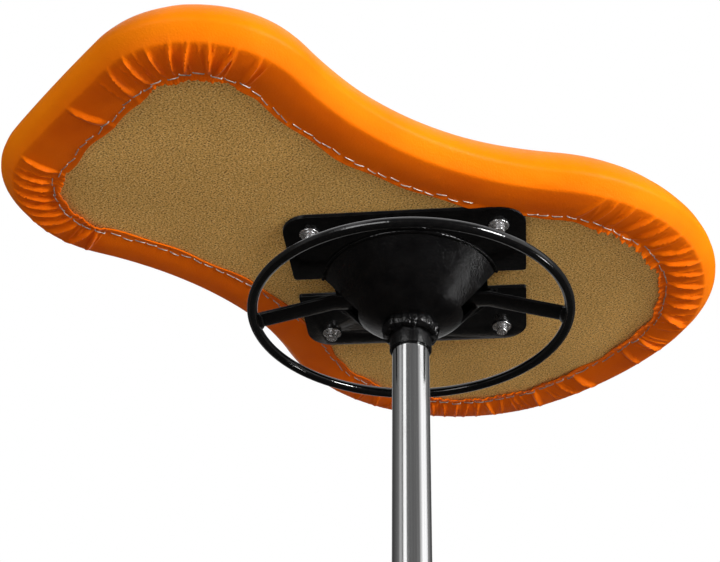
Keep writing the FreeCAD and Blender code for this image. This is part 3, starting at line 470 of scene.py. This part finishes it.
def seat_arcs():
    """The eight arcs of the seat's outline: centre x and y, radius, first and last angle."""
    front_y = -front_reach + front_end_radius
    corner_x = front_half_width - front_corner_radius
    corner_y = front_y - math.sqrt((front_end_radius - front_corner_radius) ** 2 - corner_x ** 2)
    waist_x = waist_half_width + waist_radius
    waist_y = corner_y + math.sqrt((front_corner_radius + waist_radius) ** 2
                                   - (waist_x - corner_x) ** 2)
    lobe_x = back_half_width - back_lobe_radius
    lobe_y = waist_y + math.sqrt((waist_radius + back_lobe_radius) ** 2 - (waist_x - lobe_x) ** 2)
    back_y = lobe_y - math.sqrt((back_end_radius - back_lobe_radius) ** 2 - lobe_x ** 2)
    front_turn = math.atan2(corner_y - front_y, corner_x)
    waist_turn = math.atan2(waist_y - corner_y, waist_x - corner_x)
    lobe_turn = math.atan2(lobe_y - waist_y, lobe_x - waist_x)
    back_turn = math.atan2(lobe_y - back_y, lobe_x)
    right = [(corner_x, corner_y, front_corner_radius, front_turn, waist_turn),
             (waist_x, waist_y, waist_radius, math.pi + waist_turn, lobe_turn),
             (lobe_x, lobe_y, back_lobe_radius, lobe_turn - math.pi, back_turn)]
    left = [(-x, y, radius, math.pi - end, math.pi - start)
            for x, y, radius, start, end in reversed(right)]
    return ([(0, front_y, front_end_radius, -math.pi - front_turn, front_turn)] + right
            + [(0, back_y, back_end_radius, back_turn, math.pi - back_turn)] + left)


seat_edge = seat_arcs()
arc_lengths = [radius * abs(end - start) for x, y, radius, start, end in seat_edge]
edge_length = sum(arc_lengths)


def edge_point(along):
    """The outline's point and outward direction at a distance along it."""
    rest = along % edge_length
    for (x, y, radius, start, end), length in zip(seat_edge, arc_lengths):
        if rest <= length:
            break
        rest -= length
    angle = start + (end - start) * rest / length
    way = math.copysign(1, end - start)
    spot = Vector((x + radius * math.cos(angle), y + radius * math.sin(angle)))
    return spot, Vector((math.cos(angle), math.sin(angle))) * way


def column_along(share):
    """The distance along the outline of a share of the columns, which stand wider at the waist."""
    weights = [length * (waist_density if end < start else 1)
               for (x, y, radius, start, end), length in zip(seat_edge, arc_lengths)]
    rest = share * sum(weights)
    along = 0.0
    for weight, length in zip(weights, arc_lengths):
        if rest <= weight:
            return along + length * rest / weight
        rest -= weight
        along += length
    return along


def seat_form(name, rings):
    """A form drawn up ring by ring, open in the middle; a ring is (inset, height, crown share).
    Each point keeps its turn round the outline and its run along the cloth from the first ring."""
    alongs = [column_along((column + 0.5) / columns) for column in range(columns)]
    places = [edge_point(along) for along in alongs]
    bpy.ops.object.select_all(action="DESELECT")
    bpy.ops.mesh.primitive_circle_add(vertices=columns)
    form = bpy.context.object
    form.name = name
    bpy.ops.object.mode_set(mode="EDIT")
    mesh = bmesh.from_edit_mesh(form.data)
    mesh.verts.layers.int.new("column")
    for layer in ("turn_x", "turn_y", "run"):
        mesh.verts.layers.float.new(layer)
    column_of = mesh.verts.layers.int["column"]
    for column, point in enumerate(mesh.verts):
        point[column_of] = column
    run = 0.0
    before = rings[0]
    for ring in rings:
        inset, height, share = ring
        if ring is not rings[0]:
            bpy.ops.mesh.extrude_edges_move()
        run += math.hypot(inset - before[0], height - before[1])
        before = ring
        mesh = bmesh.from_edit_mesh(form.data)
        column_of = mesh.verts.layers.int["column"]
        layers = mesh.verts.layers.float
        for point in mesh.verts:
            if point.select:
                spot, outward = places[point[column_of]]
                spot = spot - outward * inset
                point.co = (spot.x * share, crown_middle + (spot.y - crown_middle) * share, height)
                turn = 2 * math.pi * alongs[point[column_of]] / edge_length
                point[layers["turn_x"]] = math.cos(turn)
                point[layers["turn_y"]] = math.sin(turn)
                point[layers["run"]] = run
        bmesh.update_edit_mesh(form.data)
    bpy.ops.mesh.select_all(action="SELECT")
    bpy.ops.mesh.normals_make_consistent(inside=False)
    bpy.ops.object.mode_set(mode="OBJECT")
    return form


def close_middle(form, height):
    """Draws the open edge at this height or above together into one point."""
    only(form)
    bpy.ops.object.mode_set(mode="EDIT")
    bpy.ops.mesh.select_all(action="DESELECT")
    mesh = bmesh.from_edit_mesh(form.data)
    for edge in mesh.edges:
        if edge.is_boundary and edge.verts[0].co.z > height:
            edge.select_set(True)
    bmesh.update_edit_mesh(form.data)
    bpy.ops.mesh.extrude_edges_move()
    bpy.ops.mesh.merge(type="CENTER")
    bpy.ops.mesh.select_all(action="SELECT")
    bpy.ops.mesh.normals_make_consistent(inside=False)
    bpy.ops.object.mode_set(mode="OBJECT")


def cushion_rings(skin, upper_turns, crown_shares):
    """The cushion's rings above its underside, with a skin of this thickness taken off."""
    rings = []
    for inset, rise, tilt in lower_profile:
        rings.append((inset + skin * math.cos(math.radians(tilt)),
                      cushion_low + rise + skin * math.sin(math.radians(tilt)), 1.0))
    for turn in upper_turns:
        rings.append((upper_inset - (upper_inset - skin) * math.cos(turn),
                      widest_height + (upper_rise - skin) * math.sin(turn), 1.0))
    for share in crown_shares:
        rise = crown_rise * (1 - share ** 2) ** 2
        rings.append((upper_inset, widest_height + upper_rise - skin + rise, share))
    return rings


def pad_out(piece, held_group, pressure, cap):
    """Swells a padded piece as cloth under pressure, outwards only, no point beyond the cap."""
    settling_frames = 20
    rest = np.array([point.co for point in piece.data.vertices])
    outward = np.array([point.normal for point in piece.data.vertices])
    only(piece)
    bpy.ops.object.modifier_add(type="CLOTH")
    cloth = piece.modifiers[-1]
    cloth.settings.use_pressure = True
    cloth.settings.uniform_pressure_force = pressure
    cloth.settings.vertex_group_mass = held_group
    cloth.settings.effector_weights.gravity = 0
    for step in range(settling_frames):
        bpy.context.scene.frame_set(step + 1)
    bpy.ops.object.modifier_apply(modifier=cloth.name)
    bpy.context.scene.frame_set(1)
    moved = np.array([point.co for point in piece.data.vertices]) - rest
    swell = np.clip((moved * outward).sum(axis=1, keepdims=True), 0, cap)
    piece.data.vertices.foreach_set("co", (rest + outward * swell).astype(np.float32).ravel())
    piece.data.update()


cover_thickness = 0.0012
board_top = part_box("seat_board")[1].z
board_edge_inset, foam_middle_inset = 0.0165, 0.090
quarter = math.pi / 2
foam_gap = 0.0004
foam_rings = [(foam_middle_inset, board_top + foam_gap, 1.0),
              (board_edge_inset - foam_gap, board_top + foam_gap, 1.0),
              (board_edge_inset - foam_gap, cushion_low + cover_thickness + foam_gap, 1.0)]
foam_rings += cushion_rings(cover_thickness + foam_gap,
                            [0, quarter * 0.25, quarter * 0.5, quarter * 0.75, quarter],
                            [0.7, 0.4, pole_share])
foam = seat_form("foam_pad", foam_rings)
close_middle(foam, widest_height + upper_rise)
close_middle(foam, cushion_low)
bpy.ops.object.shade_smooth_by_angle(angle=math.radians(40))

pale_foam = new_finish("pale_foam", (0.72, 0.62, 0.36), 0.9)
foam_cells = add_pattern(pale_foam, 900, cells=True)
tint_by(pale_foam, foam_cells, [(0.1, (0.5, 0.41, 0.2)), (0.5, (0.78, 0.68, 0.42))])
emboss_by(pale_foam, foam_cells, 0.0004, 0.7)
foam.data.materials.append(pale_foam)
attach(foam, "seat")
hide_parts("seat_foam")
foam.visible_glossy = False


# Cover
# One piece of orange vinyl pulled over the foam and turned under the board's edge. Round the lobes
# it is gathered into pleats, and its raw edge stands up in a frill inside the line of staples.
hem_inset = 0.0455
cover_rings = [(inset, cushion_low, 1.0) for inset in
               (hem_inset, 0.0437, 0.0418, 0.038, 0.034, 0.030, 0.026, 0.022, 0.0185, 0.0155)]
cover_rings += cushion_rings(0,
                             [0, quarter * 0.18, quarter * 0.36, quarter * 0.54, quarter * 0.72,
                              quarter * 0.88, quarter],
                             [0.86, 0.66, 0.44, 0.22, pole_share])
cover = seat_form("vinyl_cover", cover_rings)
# The hem is held fast round the staples and let go little by little up to the start of the wall.
held_run, held_share, held_fall = 0.038, 1.6, 1.3
swell_pressure, swell_cap = 4.0, 0.003
held = cover.vertex_groups.new(name="held")
for point in cover.data.vertices:
    share = cover.data.attributes["run"].data[point.index].value / held_run
    held.add([point.index], max(0.0, min(1.0, held_share - share * held_fall)), "REPLACE")
pad_out(cover, "held", swell_pressure, swell_cap)
cover.vertex_groups.clear()
only(cover)
bpy.ops.object.modifier_add(type="SUBSURF")
cover.modifiers[-1].levels = cover.modifiers[-1].render_levels = 1
bpy.ops.object.modifier_apply(modifier=cover.modifiers[-1].name)
close_middle(cover, widest_height)

# The pleats: where each starts at the seat's edge and ends at the staples, in millimetres along the
# outline, its height and width in the fold units below, and the side on which it falls away.
pleats = [(62, 66, 2.6, 17, 1), (112, 100, 3.0, 15, -1), (129, 126, 2.8, 13, -1),
          (149, 150, 2.4, 12, -1), (169, 162, 3.0, 12, 1), (182, 172, 3.2, 11, -1),
          (198, 201, 3.0, 13, 1), (218, 207, 3.0, 13, -1), (238, 241, 2.6, 14, 1),
          (521, 505, 1.6, 16, -1), (532, 525, 2.0, 13, -1), (548, 541, 2.4, 13, -1),
          (570, 557, 3.0, 14, -1), (586, 578, 2.8, 13, -1), (604, 594, 3.0, 13, -1),
          (626, 614, 2.8, 14, -1), (647, 632, 3.0, 14, -1), (667, 653, 2.6, 13, 1),
          (687, 673, 2.8, 13, 1), (703, 693, 2.6, 12, 1), (718, 711, 2.8, 12, 1),
          (752, 732, 3.8, 18, 1), (792, 785, 3.0, 18, -1), (822, 811, 2.0, 15, 1),
          (875, 878, 3.0, 18, 1), (893, 899, 2.4, 14, 1), (935, 927, 2.8, 15, 1),
          (981, 986, 2.2, 15, -1), (1001, 996, 2.6, 11, 1), (1013, 1007, 2.6, 11, -1),
          (1022, 1021, 2.8, 10, 1), (1031, 1036, 2.6, 11, -1), (1043, 1051, 2.6, 12, 1),
          (1062, 1068, 2.4, 14, -1), (1082, 1090, 2.6, 14, 1), (1104, 1118, 2.8, 15, -1),
          (1128, 1140, 2.4, 14, 1), (1150, 1160, 1.8, 15, -1),
          (1443, 1445, 3.2, 14, 1), (1462, 1450, 3.4, 15, -1), (1482, 1471, 3.0, 14, -1),
          (1499, 1486, 3.0, 13, 1), (1515, 1499, 2.8, 13, 1), (1529, 1513, 3.0, 14, 1),
          (1543, 1528, 2.8, 13, 1), (1555, 1546, 2.6, 13, -1), (1568, 1563, 2.4, 13, 1),
          (1590, 1588, 2.6, 16, 1)]
# Small ones between them are drawn at random from a fixed seed.
dice = random.Random(7)
for first, last, count in ((95, 250, 14), (515, 800, 26), (880, 1160, 26), (1440, 1575, 13)):
    for step in range(count):
        start = first + (last - first) * (step + dice.random()) / count
        pleats.append((start, start + dice.uniform(-7, 7), dice.uniform(0.5, 1.3),
                       dice.uniform(5, 9), dice.choice((-1, 1))))

staple_inset = 0.040
staple_run = hem_inset - staple_inset
crease_run = hem_inset - crease_inset
pleat_end_run, pleat_fade = crease_run + 0.003, 0.008
fold_height, fold_width, hem_bulge = 0.00125, 0.00042, 0.0012
pressed_share, pressed_reach = 0.22, 0.30


def ease(value):
    """A smooth step from 0 to 1."""
    value = np.clip(value, 0, 1)
    return value * value * (3 - 2 * value)


def read_layer(piece, name):
    """One number for each point of a piece."""
    values = np.zeros(len(piece.data.vertices), np.float32)
    piece.data.attributes[name].data.foreach_get("value", values)
    return values.astype(float)


def read_points(piece, name):
    """A place or a direction for each point of a piece."""
    values = np.zeros(len(piece.data.vertices) * 3, np.float32)
    piece.data.vertices.foreach_get(name, values)
    return values.reshape(-1, 3).astype(float)


turn = np.arctan2(read_layer(cover, "turn_y"), read_layer(cover, "turn_x")) % (2 * math.pi)
along = turn / (2 * math.pi) * edge_length
run = read_layer(cover, "run")
points = read_points(cover, "co")
outward = read_points(cover, "normal")

# A fold is steep on one side and long on the other, and is pressed nearly flat under the staples.
from_staples = (run - staple_run) / (crease_run - staple_run)
raised = np.zeros(len(run))
for start, finish, height, width, lean in pleats:
    middle = (start + (finish - start) * (1 - from_staples)) * 0.001
    across = (along - middle + edge_length / 2) % edge_length - edge_length / 2
    spread = width * fold_width * (1.1 - 0.35 * np.clip(from_staples, 0, 1))
    across = across * lean / spread
    fold = ease(across + 1) ** 1.5 * ease((0.38 - across) / 0.5)
    rise = ease((pleat_end_run - run) / (pleat_end_run - crease_run + pleat_fade))
    press = pressed_share + (1 - pressed_share) * ease(from_staples / pressed_reach)
    raised = np.maximum(raised, height * fold_height * fold * rise * press)
raised += hem_bulge * np.sin(np.clip(from_staples, 0, 1) * math.pi)
points += outward * raised[:, None]

# The raw edge: it waves and stands off the board between the staples, most of all where the
# outline turns sharply and there is cloth to spare.
edge_hang, edge_curl = 0.0006, 0.0011
lobe = np.zeros(len(run))
for first, last, share in ((95, 250, 0.35), (520, 830, 0.9), (860, 1165, 0.8), (1425, 1590, 0.9)):
    here = ease((along * 1000 - first) / 30) * ease((last - along * 1000) / 30)
    lobe = np.maximum(lobe, here * share)
edge_share = ease((staple_run - run) / staple_run)
wave = (np.sin(along * 560 + 2.0 * np.sin(along * 47)) + 0.6 * np.sin(along * 1130 + 1.3)
        + 0.5 * np.sin(along * 211 + 0.4))
points[:, 2] -= edge_share * (edge_hang + lobe * edge_curl * (1.3 + wave))
inward = edge_share * (0.0010 * np.sin(along * 133) + 0.0008 * np.sin(along * 71 + 2)
                       + lobe * 0.0007 * wave - 0.0012 * (1 - lobe))
sides = np.array([edge_point(value)[1] for value in along])
points[:, :2] -= sides * inward[:, None]
cover.data.vertices.foreach_set("co", points.astype(np.float32).ravel())
cover.data.update()

only(cover)
bpy.ops.object.modifier_add(type="SOLIDIFY")
shell = cover.modifiers[-1]
shell.thickness = cover_thickness
shell.offset = -1
shell.material_offset = 1
shell.material_offset_rim = 1
bpy.ops.object.modifier_apply(modifier=shell.name)
bpy.ops.object.shade_smooth_by_angle(angle=math.radians(60))

# Painted shade and light: a deeper orange on the turned-under hem, a paler, golden one on the wall.
orange_vinyl = new_finish("orange_vinyl", (0.86, 0.2, 0.003), 0.42, shine=0.06)
hide_tone = add_pattern(orange_vinyl, 22, detail=5)
shaded_hem_tint = tint_by(orange_vinyl, hide_tone, [(0.3, (0.80, 0.138, 0.001)), (0.7, (0.88, 0.17, 0.001))])
lit_wall_tint = tint_by(orange_vinyl, hide_tone,
                    [(0.3, (0.88, 0.205, 0.001)), (0.7, (0.95, 0.25, 0.0015))])
vinyl_nodes, vinyl_links = orange_vinyl.node_tree.nodes, orange_vinyl.node_tree.links
# The run past the crease blends the painted-shade hem colour into the painted-light wall colour.
cloth_run = vinyl_nodes.new("ShaderNodeAttribute")
cloth_run.attribute_name = "run"
past_crease = vinyl_nodes.new("ShaderNodeMapRange")
past_crease.inputs["From Min"].default_value = crease_run - 0.004
past_crease.inputs["From Max"].default_value = crease_run + 0.010
light_and_shade_mix = vinyl_nodes.new("ShaderNodeMix")
light_and_shade_mix.data_type = "RGBA"
vinyl_links.new(cloth_run.outputs["Fac"], past_crease.inputs["Value"])
vinyl_links.new(past_crease.outputs["Result"], light_and_shade_mix.inputs["Factor"])
vinyl_links.new(shaded_hem_tint.outputs["Color"], light_and_shade_mix.inputs["A"])
vinyl_links.new(lit_wall_tint.outputs["Color"], light_and_shade_mix.inputs["B"])
vinyl_links.new(light_and_shade_mix.outputs["Result"], vinyl_nodes["Principled BSDF"].inputs["Base Color"])
hide_grain = add_pattern(orange_vinyl, 780, cells=True)
roughen_by(orange_vinyl, add_pattern(orange_vinyl, 300, detail=4), 0.38, 0.5)
emboss_by(orange_vinyl, hide_grain, 0.00022, 0.55)
emboss_by(orange_vinyl, add_pattern(orange_vinyl, 90, detail=4), 0.0004, 0.35)
cover.data.materials.append(orange_vinyl)

vinyl_backing = new_finish("vinyl_backing", (0.85, 0.33, 0.06), 0.85)
backing_knit = add_pattern(vinyl_backing, 1500, cells=True)
tint_by(vinyl_backing, backing_knit, [(0.1, (0.7, 0.22, 0.03)), (0.5, (0.95, 0.5, 0.18))])
emboss_by(vinyl_backing, backing_knit, 0.0002, 0.6)
cover.data.materials.append(vinyl_backing)
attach(cover, "seat")
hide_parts("seat_cover")
cover.visible_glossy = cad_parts["seat_board"].visible_glossy = False


# Staples
# Wire staples shot through the turned-under vinyl into the board, close together and each a little
# askew, but not over the plate. One is bent from round wire by spinning its section round both
# shoulders, and its copies are seated on the cover.
staple_spacing, wire_sides = 0.0100, 6
crown_length, staple_wire, leg_length, shoulder = 0.0075, 0.0008, 0.007, 0.0009
spacing_slip, inset_slip, askew, tip = 0.16, (-0.0018, 0.0012), 0.2, 0.04
plate_half = 0.090
plate_reach = plate_half + staple_wire + crown_length / 2
cloth_near = 0.0025
staple_wire_finish = new_finish("staple_wire", (0.34, 0.30, 0.25), 0.45, 0.5)
wire_stain = add_pattern(staple_wire_finish, 260, detail=4)
tint_by(staple_wire_finish, wire_stain, [(0.35, (0.24, 0.20, 0.16)), (0.65, (0.60, 0.55, 0.48))])
roughen_by(staple_wire_finish, wire_stain, 0.28, 0.5)

bpy.ops.object.select_all(action="DESELECT")
bpy.ops.mesh.primitive_circle_add(vertices=wire_sides, radius=staple_wire / 2, fill_type="NGON",
                                  location=(-crown_length / 2, 0, leg_length))
staple = bpy.context.object
bpy.ops.object.transform_apply(location=True, rotation=True, scale=True)
bpy.ops.object.mode_set(mode="EDIT")
bpy.ops.mesh.select_all(action="SELECT")
bpy.ops.mesh.extrude_region_move(TRANSFORM_OT_translate={"value": (0, 0, -leg_length + shoulder)})
bpy.ops.mesh.spin(steps=3, angle=quarter, center=(-crown_length / 2 + shoulder, 0, shoulder),
                  axis=(0, 1, 0))
bpy.ops.mesh.extrude_region_move(
    TRANSFORM_OT_translate={"value": (crown_length - 2 * shoulder, 0, 0)})
bpy.ops.mesh.spin(steps=3, angle=quarter, center=(crown_length / 2 - shoulder, 0, shoulder),
                  axis=(0, 1, 0))
bpy.ops.mesh.extrude_region_move(TRANSFORM_OT_translate={"value": (0, 0, leg_length - shoulder)})
bpy.ops.mesh.select_all(action="SELECT")
bpy.ops.mesh.remove_doubles(threshold=0.00001)
bpy.ops.mesh.normals_make_consistent(inside=False)
bpy.ops.object.mode_set(mode="OBJECT")
staple.data.materials.append(staple_wire_finish)


def cloth_under(place):
    """The height of the cover's lowest point close to a place."""
    near = np.hypot(points[:, 0] - place.x, points[:, 1] - place.y) < cloth_near
    return points[near, 2].min()


dice = random.Random(21)
row = []
travelled = 0.0
for (x, y, radius, start, end), length in zip(seat_edge, arc_lengths):
    inner = radius - staple_inset * math.copysign(1, end - start)
    count = max(1, round(inner * abs(end - start) / staple_spacing))
    for step in range(count):
        slip = dice.uniform(-spacing_slip, spacing_slip)
        spot, side = edge_point(travelled + length * (step + 0.5 + slip) / count)
        spot = spot - side * (staple_inset + dice.uniform(*inset_slip))
        on_plate = Matrix.Rotation(-mechanism_turn, 2) @ spot
        if max(abs(on_plate.x), abs(on_plate.y)) < plate_reach:
            continue
        heading = math.atan2(side.x, -side.y) + dice.uniform(-askew, askew)
        copy = bpy.data.objects.new("staple", staple.data.copy())
        bpy.context.scene.collection.objects.link(copy)
        reach = Vector((math.cos(heading), math.sin(heading))) * crown_length * 0.4
        under = sum(cloth_under(place) for place in (spot - reach, spot, spot + reach)) / 3
        copy.data.transform(Matrix.Translation((spot.x, spot.y, under - staple_wire * 0.4))
                            @ Matrix.Rotation(heading, 4, "Z")
                            @ Matrix.Rotation(dice.uniform(-tip, tip), 4, "Y"))
        row.append(copy)
    travelled += length
bpy.data.objects.remove(staple)
only(row[0])
for copy in row:
    copy.select_set(True)
bpy.ops.object.join()
staples = bpy.context.object
staples.name = "staple_row"
bpy.ops.object.shade_smooth_by_angle(angle=math.radians(50))
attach(staples, "seat")
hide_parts("cover_staples")


# Floor and light
# A pale floor that keeps the stool's shadow, a white background, and soft lamps: a strong one from
# the camera's right, a weaker and wider one from its left, one above and one behind.
# Seen by the camera, the floor fades into the background some way off, and it is clear from below,
# where the stool's underside shows. What it throws back on the stool is a warmer, darker tone.
floor_half, floor_level = 6.0, -0.0005
fade_start, fade_end = 0.9, 2.4
bounced_tone, shown_tone = (0.48, 0.375, 0.285, 1), (0.86, 0.86, 0.86, 1)
bpy.ops.object.select_all(action="DESELECT")
bpy.ops.mesh.primitive_plane_add(size=2 * floor_half, location=(0, 0, floor_level))
floor = bpy.context.object
floor.name = "floor"
pale_floor = new_finish("pale_floor", (0.8, 0.8, 0.8), 0.8, shine=0)
floor_nodes, floor_links = pale_floor.node_tree.nodes, pale_floor.node_tree.links
floor_shader = floor_nodes["Principled BSDF"]
floor_ray = floor_nodes.new("ShaderNodeLightPath")
floor_tone = floor_nodes.new("ShaderNodeMix")
floor_tone.data_type = "RGBA"
floor_tone.inputs["A"].default_value = bounced_tone
floor_tone.inputs["B"].default_value = shown_tone
floor_links.new(floor_ray.outputs["Is Camera Ray"], floor_tone.inputs["Factor"])
floor_links.new(floor_tone.outputs["Result"], floor_shader.inputs["Base Color"])
floor_place = floor_nodes.new("ShaderNodeTexCoord")
floor_away = floor_nodes.new("ShaderNodeVectorMath")
floor_away.operation = "LENGTH"
floor_fade = floor_nodes.new("ShaderNodeMapRange")
floor_fade.interpolation_type = "SMOOTHSTEP"
floor_fade.inputs["From Min"].default_value = fade_start
floor_fade.inputs["From Max"].default_value = fade_end
floor_seen = floor_nodes.new("ShaderNodeMath")
floor_seen.operation = "MULTIPLY"
floor_white = floor_nodes.new("ShaderNodeEmission")
floor_blend = floor_nodes.new("ShaderNodeMixShader")
floor_links.new(floor_place.outputs["Object"], floor_away.inputs[0])
floor_links.new(floor_away.outputs["Value"], floor_fade.inputs["Value"])
floor_links.new(floor_fade.outputs["Result"], floor_seen.inputs[0])
floor_links.new(floor_ray.outputs["Is Camera Ray"], floor_seen.inputs[1])
floor_links.new(floor_seen.outputs[0], floor_blend.inputs["Fac"])
floor_links.new(floor_shader.outputs["BSDF"], floor_blend.inputs[1])
floor_links.new(floor_white.outputs["Emission"], floor_blend.inputs[2])
floor_side = floor_nodes.new("ShaderNodeNewGeometry")
floor_clear = floor_nodes.new("ShaderNodeBsdfTransparent")
floor_sides = floor_nodes.new("ShaderNodeMixShader")
floor_links.new(floor_side.outputs["Backfacing"], floor_sides.inputs["Fac"])
floor_links.new(floor_blend.outputs["Shader"], floor_sides.inputs[1])
floor_links.new(floor_clear.outputs["BSDF"], floor_sides.inputs[2])
floor_links.new(floor_sides.outputs["Shader"], floor_nodes["Material Output"].inputs["Surface"])
floor.data.materials.append(pale_floor)

# The background is full white where the camera, a reflection or clear stuff shows it, and lights
# the stool with a tenth of that.
ambient_level = 0.10
world = bpy.data.worlds.new("studio")
bpy.context.scene.world = world
world.use_nodes = True
sky = world.node_tree
background = sky.nodes["Background"]
ray = sky.nodes.new("ShaderNodeLightPath")
seen = sky.nodes.new("ShaderNodeMath")
seen.operation = "MAXIMUM"
through = sky.nodes.new("ShaderNodeMath")
through.operation = "MAXIMUM"
level = sky.nodes.new("ShaderNodeMapRange")
level.inputs["To Min"].default_value = ambient_level
level.inputs["To Max"].default_value = 1.0
sky.links.new(ray.outputs["Is Camera Ray"], seen.inputs[0])
sky.links.new(ray.outputs["Is Glossy Ray"], seen.inputs[1])
sky.links.new(seen.outputs[0], through.inputs[0])
sky.links.new(ray.outputs["Is Transmission Ray"], through.inputs[1])
sky.links.new(through.outputs[0], level.inputs["Value"])
sky.links.new(level.outputs["Result"], background.inputs["Strength"])
background.inputs["Color"].default_value = (1, 1, 1, 1)


def soft_lamp(name, place, aim, size, power):
    """A square lamp that faces a point."""
    light = bpy.data.lights.new(name, "AREA")
    light.shape = "SQUARE"
    light.size = size
    light.energy = power
    lamp = bpy.data.objects.new(name, light)
    bpy.context.scene.collection.objects.link(lamp)
    direction = Vector(aim) - Vector(place)
    lamp.matrix_world = (Matrix.Translation(place)
                         @ direction.to_track_quat("-Z", "Y").to_matrix().to_4x4())
    return lamp


# A dull wall round the stool and a dull sheet on the floor, which only reflections show: the
# polished tube mirrors them between two tall bright gaps, one on each side of the camera. A small
# bright disc on the floor gives the bowl's flank its highlight. Tones are (degrees round, brightness).
wall_radius, wall_low, wall_high, wall_columns = 3.3, -0.2, 5.0, 240
wall_tones = [(-180, 0.04), (-166, 0.045), (-122, 0.12), (-112, 0.38), (-101, 0.38), (-97, 0.14),
              (-91, 0.12), (-70, 0.11), (-30, 0.10), (3, 0.12), (10, 0.40), (17, 0.55), (62, 0.26),
              (76, 0.15), (96, 0.06), (122, 0.06), (130, 0.5), (156, 0.5), (166, 0.05), (180, 0.04)]
bright_gaps = [(-90.5, -70.0), (19.0, 60.0)]
sheet_radius, sheet_tones = 2.4, [(0, 0.03)]
card_radius, card_tones = 0.13, [(0, 26.0)]
dull_paper = new_finish("dull_paper", (0, 0, 0), 1.0)
paper_tone = dull_paper.node_tree.nodes.new("ShaderNodeAttribute")
paper_tone.attribute_name = "tone"
paper_shader = dull_paper.node_tree.nodes["Principled BSDF"]
paper_shader.inputs["Emission Color"].default_value = (1, 1, 1, 1)
dull_paper.node_tree.links.new(paper_tone.outputs["Fac"], paper_shader.inputs["Emission Strength"])


def heading_of(place):
    """The direction of a place seen from the column, in degrees."""
    return math.degrees(math.atan2(place.y, place.x))


def show_in_mirrors(piece, name, tones):
    """Gives a piece its brightness round the column, and hides it from all but reflections."""
    piece.name = name
    piece.data.materials.append(dull_paper)
    tone = piece.data.attributes.new("tone", "FLOAT", "POINT")
    for point in piece.data.vertices:
        tone.data[point.index].value = float(np.interp(heading_of(point.co), *zip(*tones)))
    piece.visible_camera = piece.visible_diffuse = piece.visible_shadow = False
    piece.visible_transmission = piece.visible_volume_scatter = False


bpy.ops.object.select_all(action="DESELECT")
bpy.ops.mesh.primitive_cylinder_add(vertices=wall_columns, radius=wall_radius,
                                    depth=wall_high - wall_low, end_fill_type="NOTHING",
                                    location=(0, 0, (wall_high + wall_low) / 2))
wall = bpy.context.object
wall_mesh = bmesh.new()
wall_mesh.from_mesh(wall.data)
open_faces = [face for face in wall_mesh.faces
              if any(first < heading_of(face.calc_center_median()) < last
                     for first, last in bright_gaps)]
bmesh.ops.delete(wall_mesh, geom=open_faces, context="FACES")
wall_mesh.to_mesh(wall.data)
wall_mesh.free()
show_in_mirrors(wall, "dull_wall", wall_tones)
bpy.ops.object.select_all(action="DESELECT")
bpy.ops.mesh.primitive_circle_add(vertices=64, radius=sheet_radius, fill_type="NGON",
                                  location=(0, 0, 0.0005))
show_in_mirrors(bpy.context.object, "dull_sheet", sheet_tones)
bpy.ops.object.select_all(action="DESELECT")
bpy.ops.mesh.primitive_circle_add(vertices=48, radius=card_radius, fill_type="NGON",
                                  location=(0.66, 1.02, 0.001))
show_in_mirrors(bpy.context.object, "bright_card", card_tones)

seat_middle = (0, 0, 0.66)
soft_lamp("key", (2.31, 0.40, 0.54), seat_middle, 0.6, 66)
soft_lamp("fill", (0.9, -2.3, 0.5), seat_middle, 1.2, 25)
soft_lamp("above", (-0.3, 0.2, 2.6), seat_middle, 1.8, 22).visible_glossy = False
soft_lamp("behind", (-2.2, 1.2, 1.3), seat_middle, 1.2, 14).visible_glossy = False
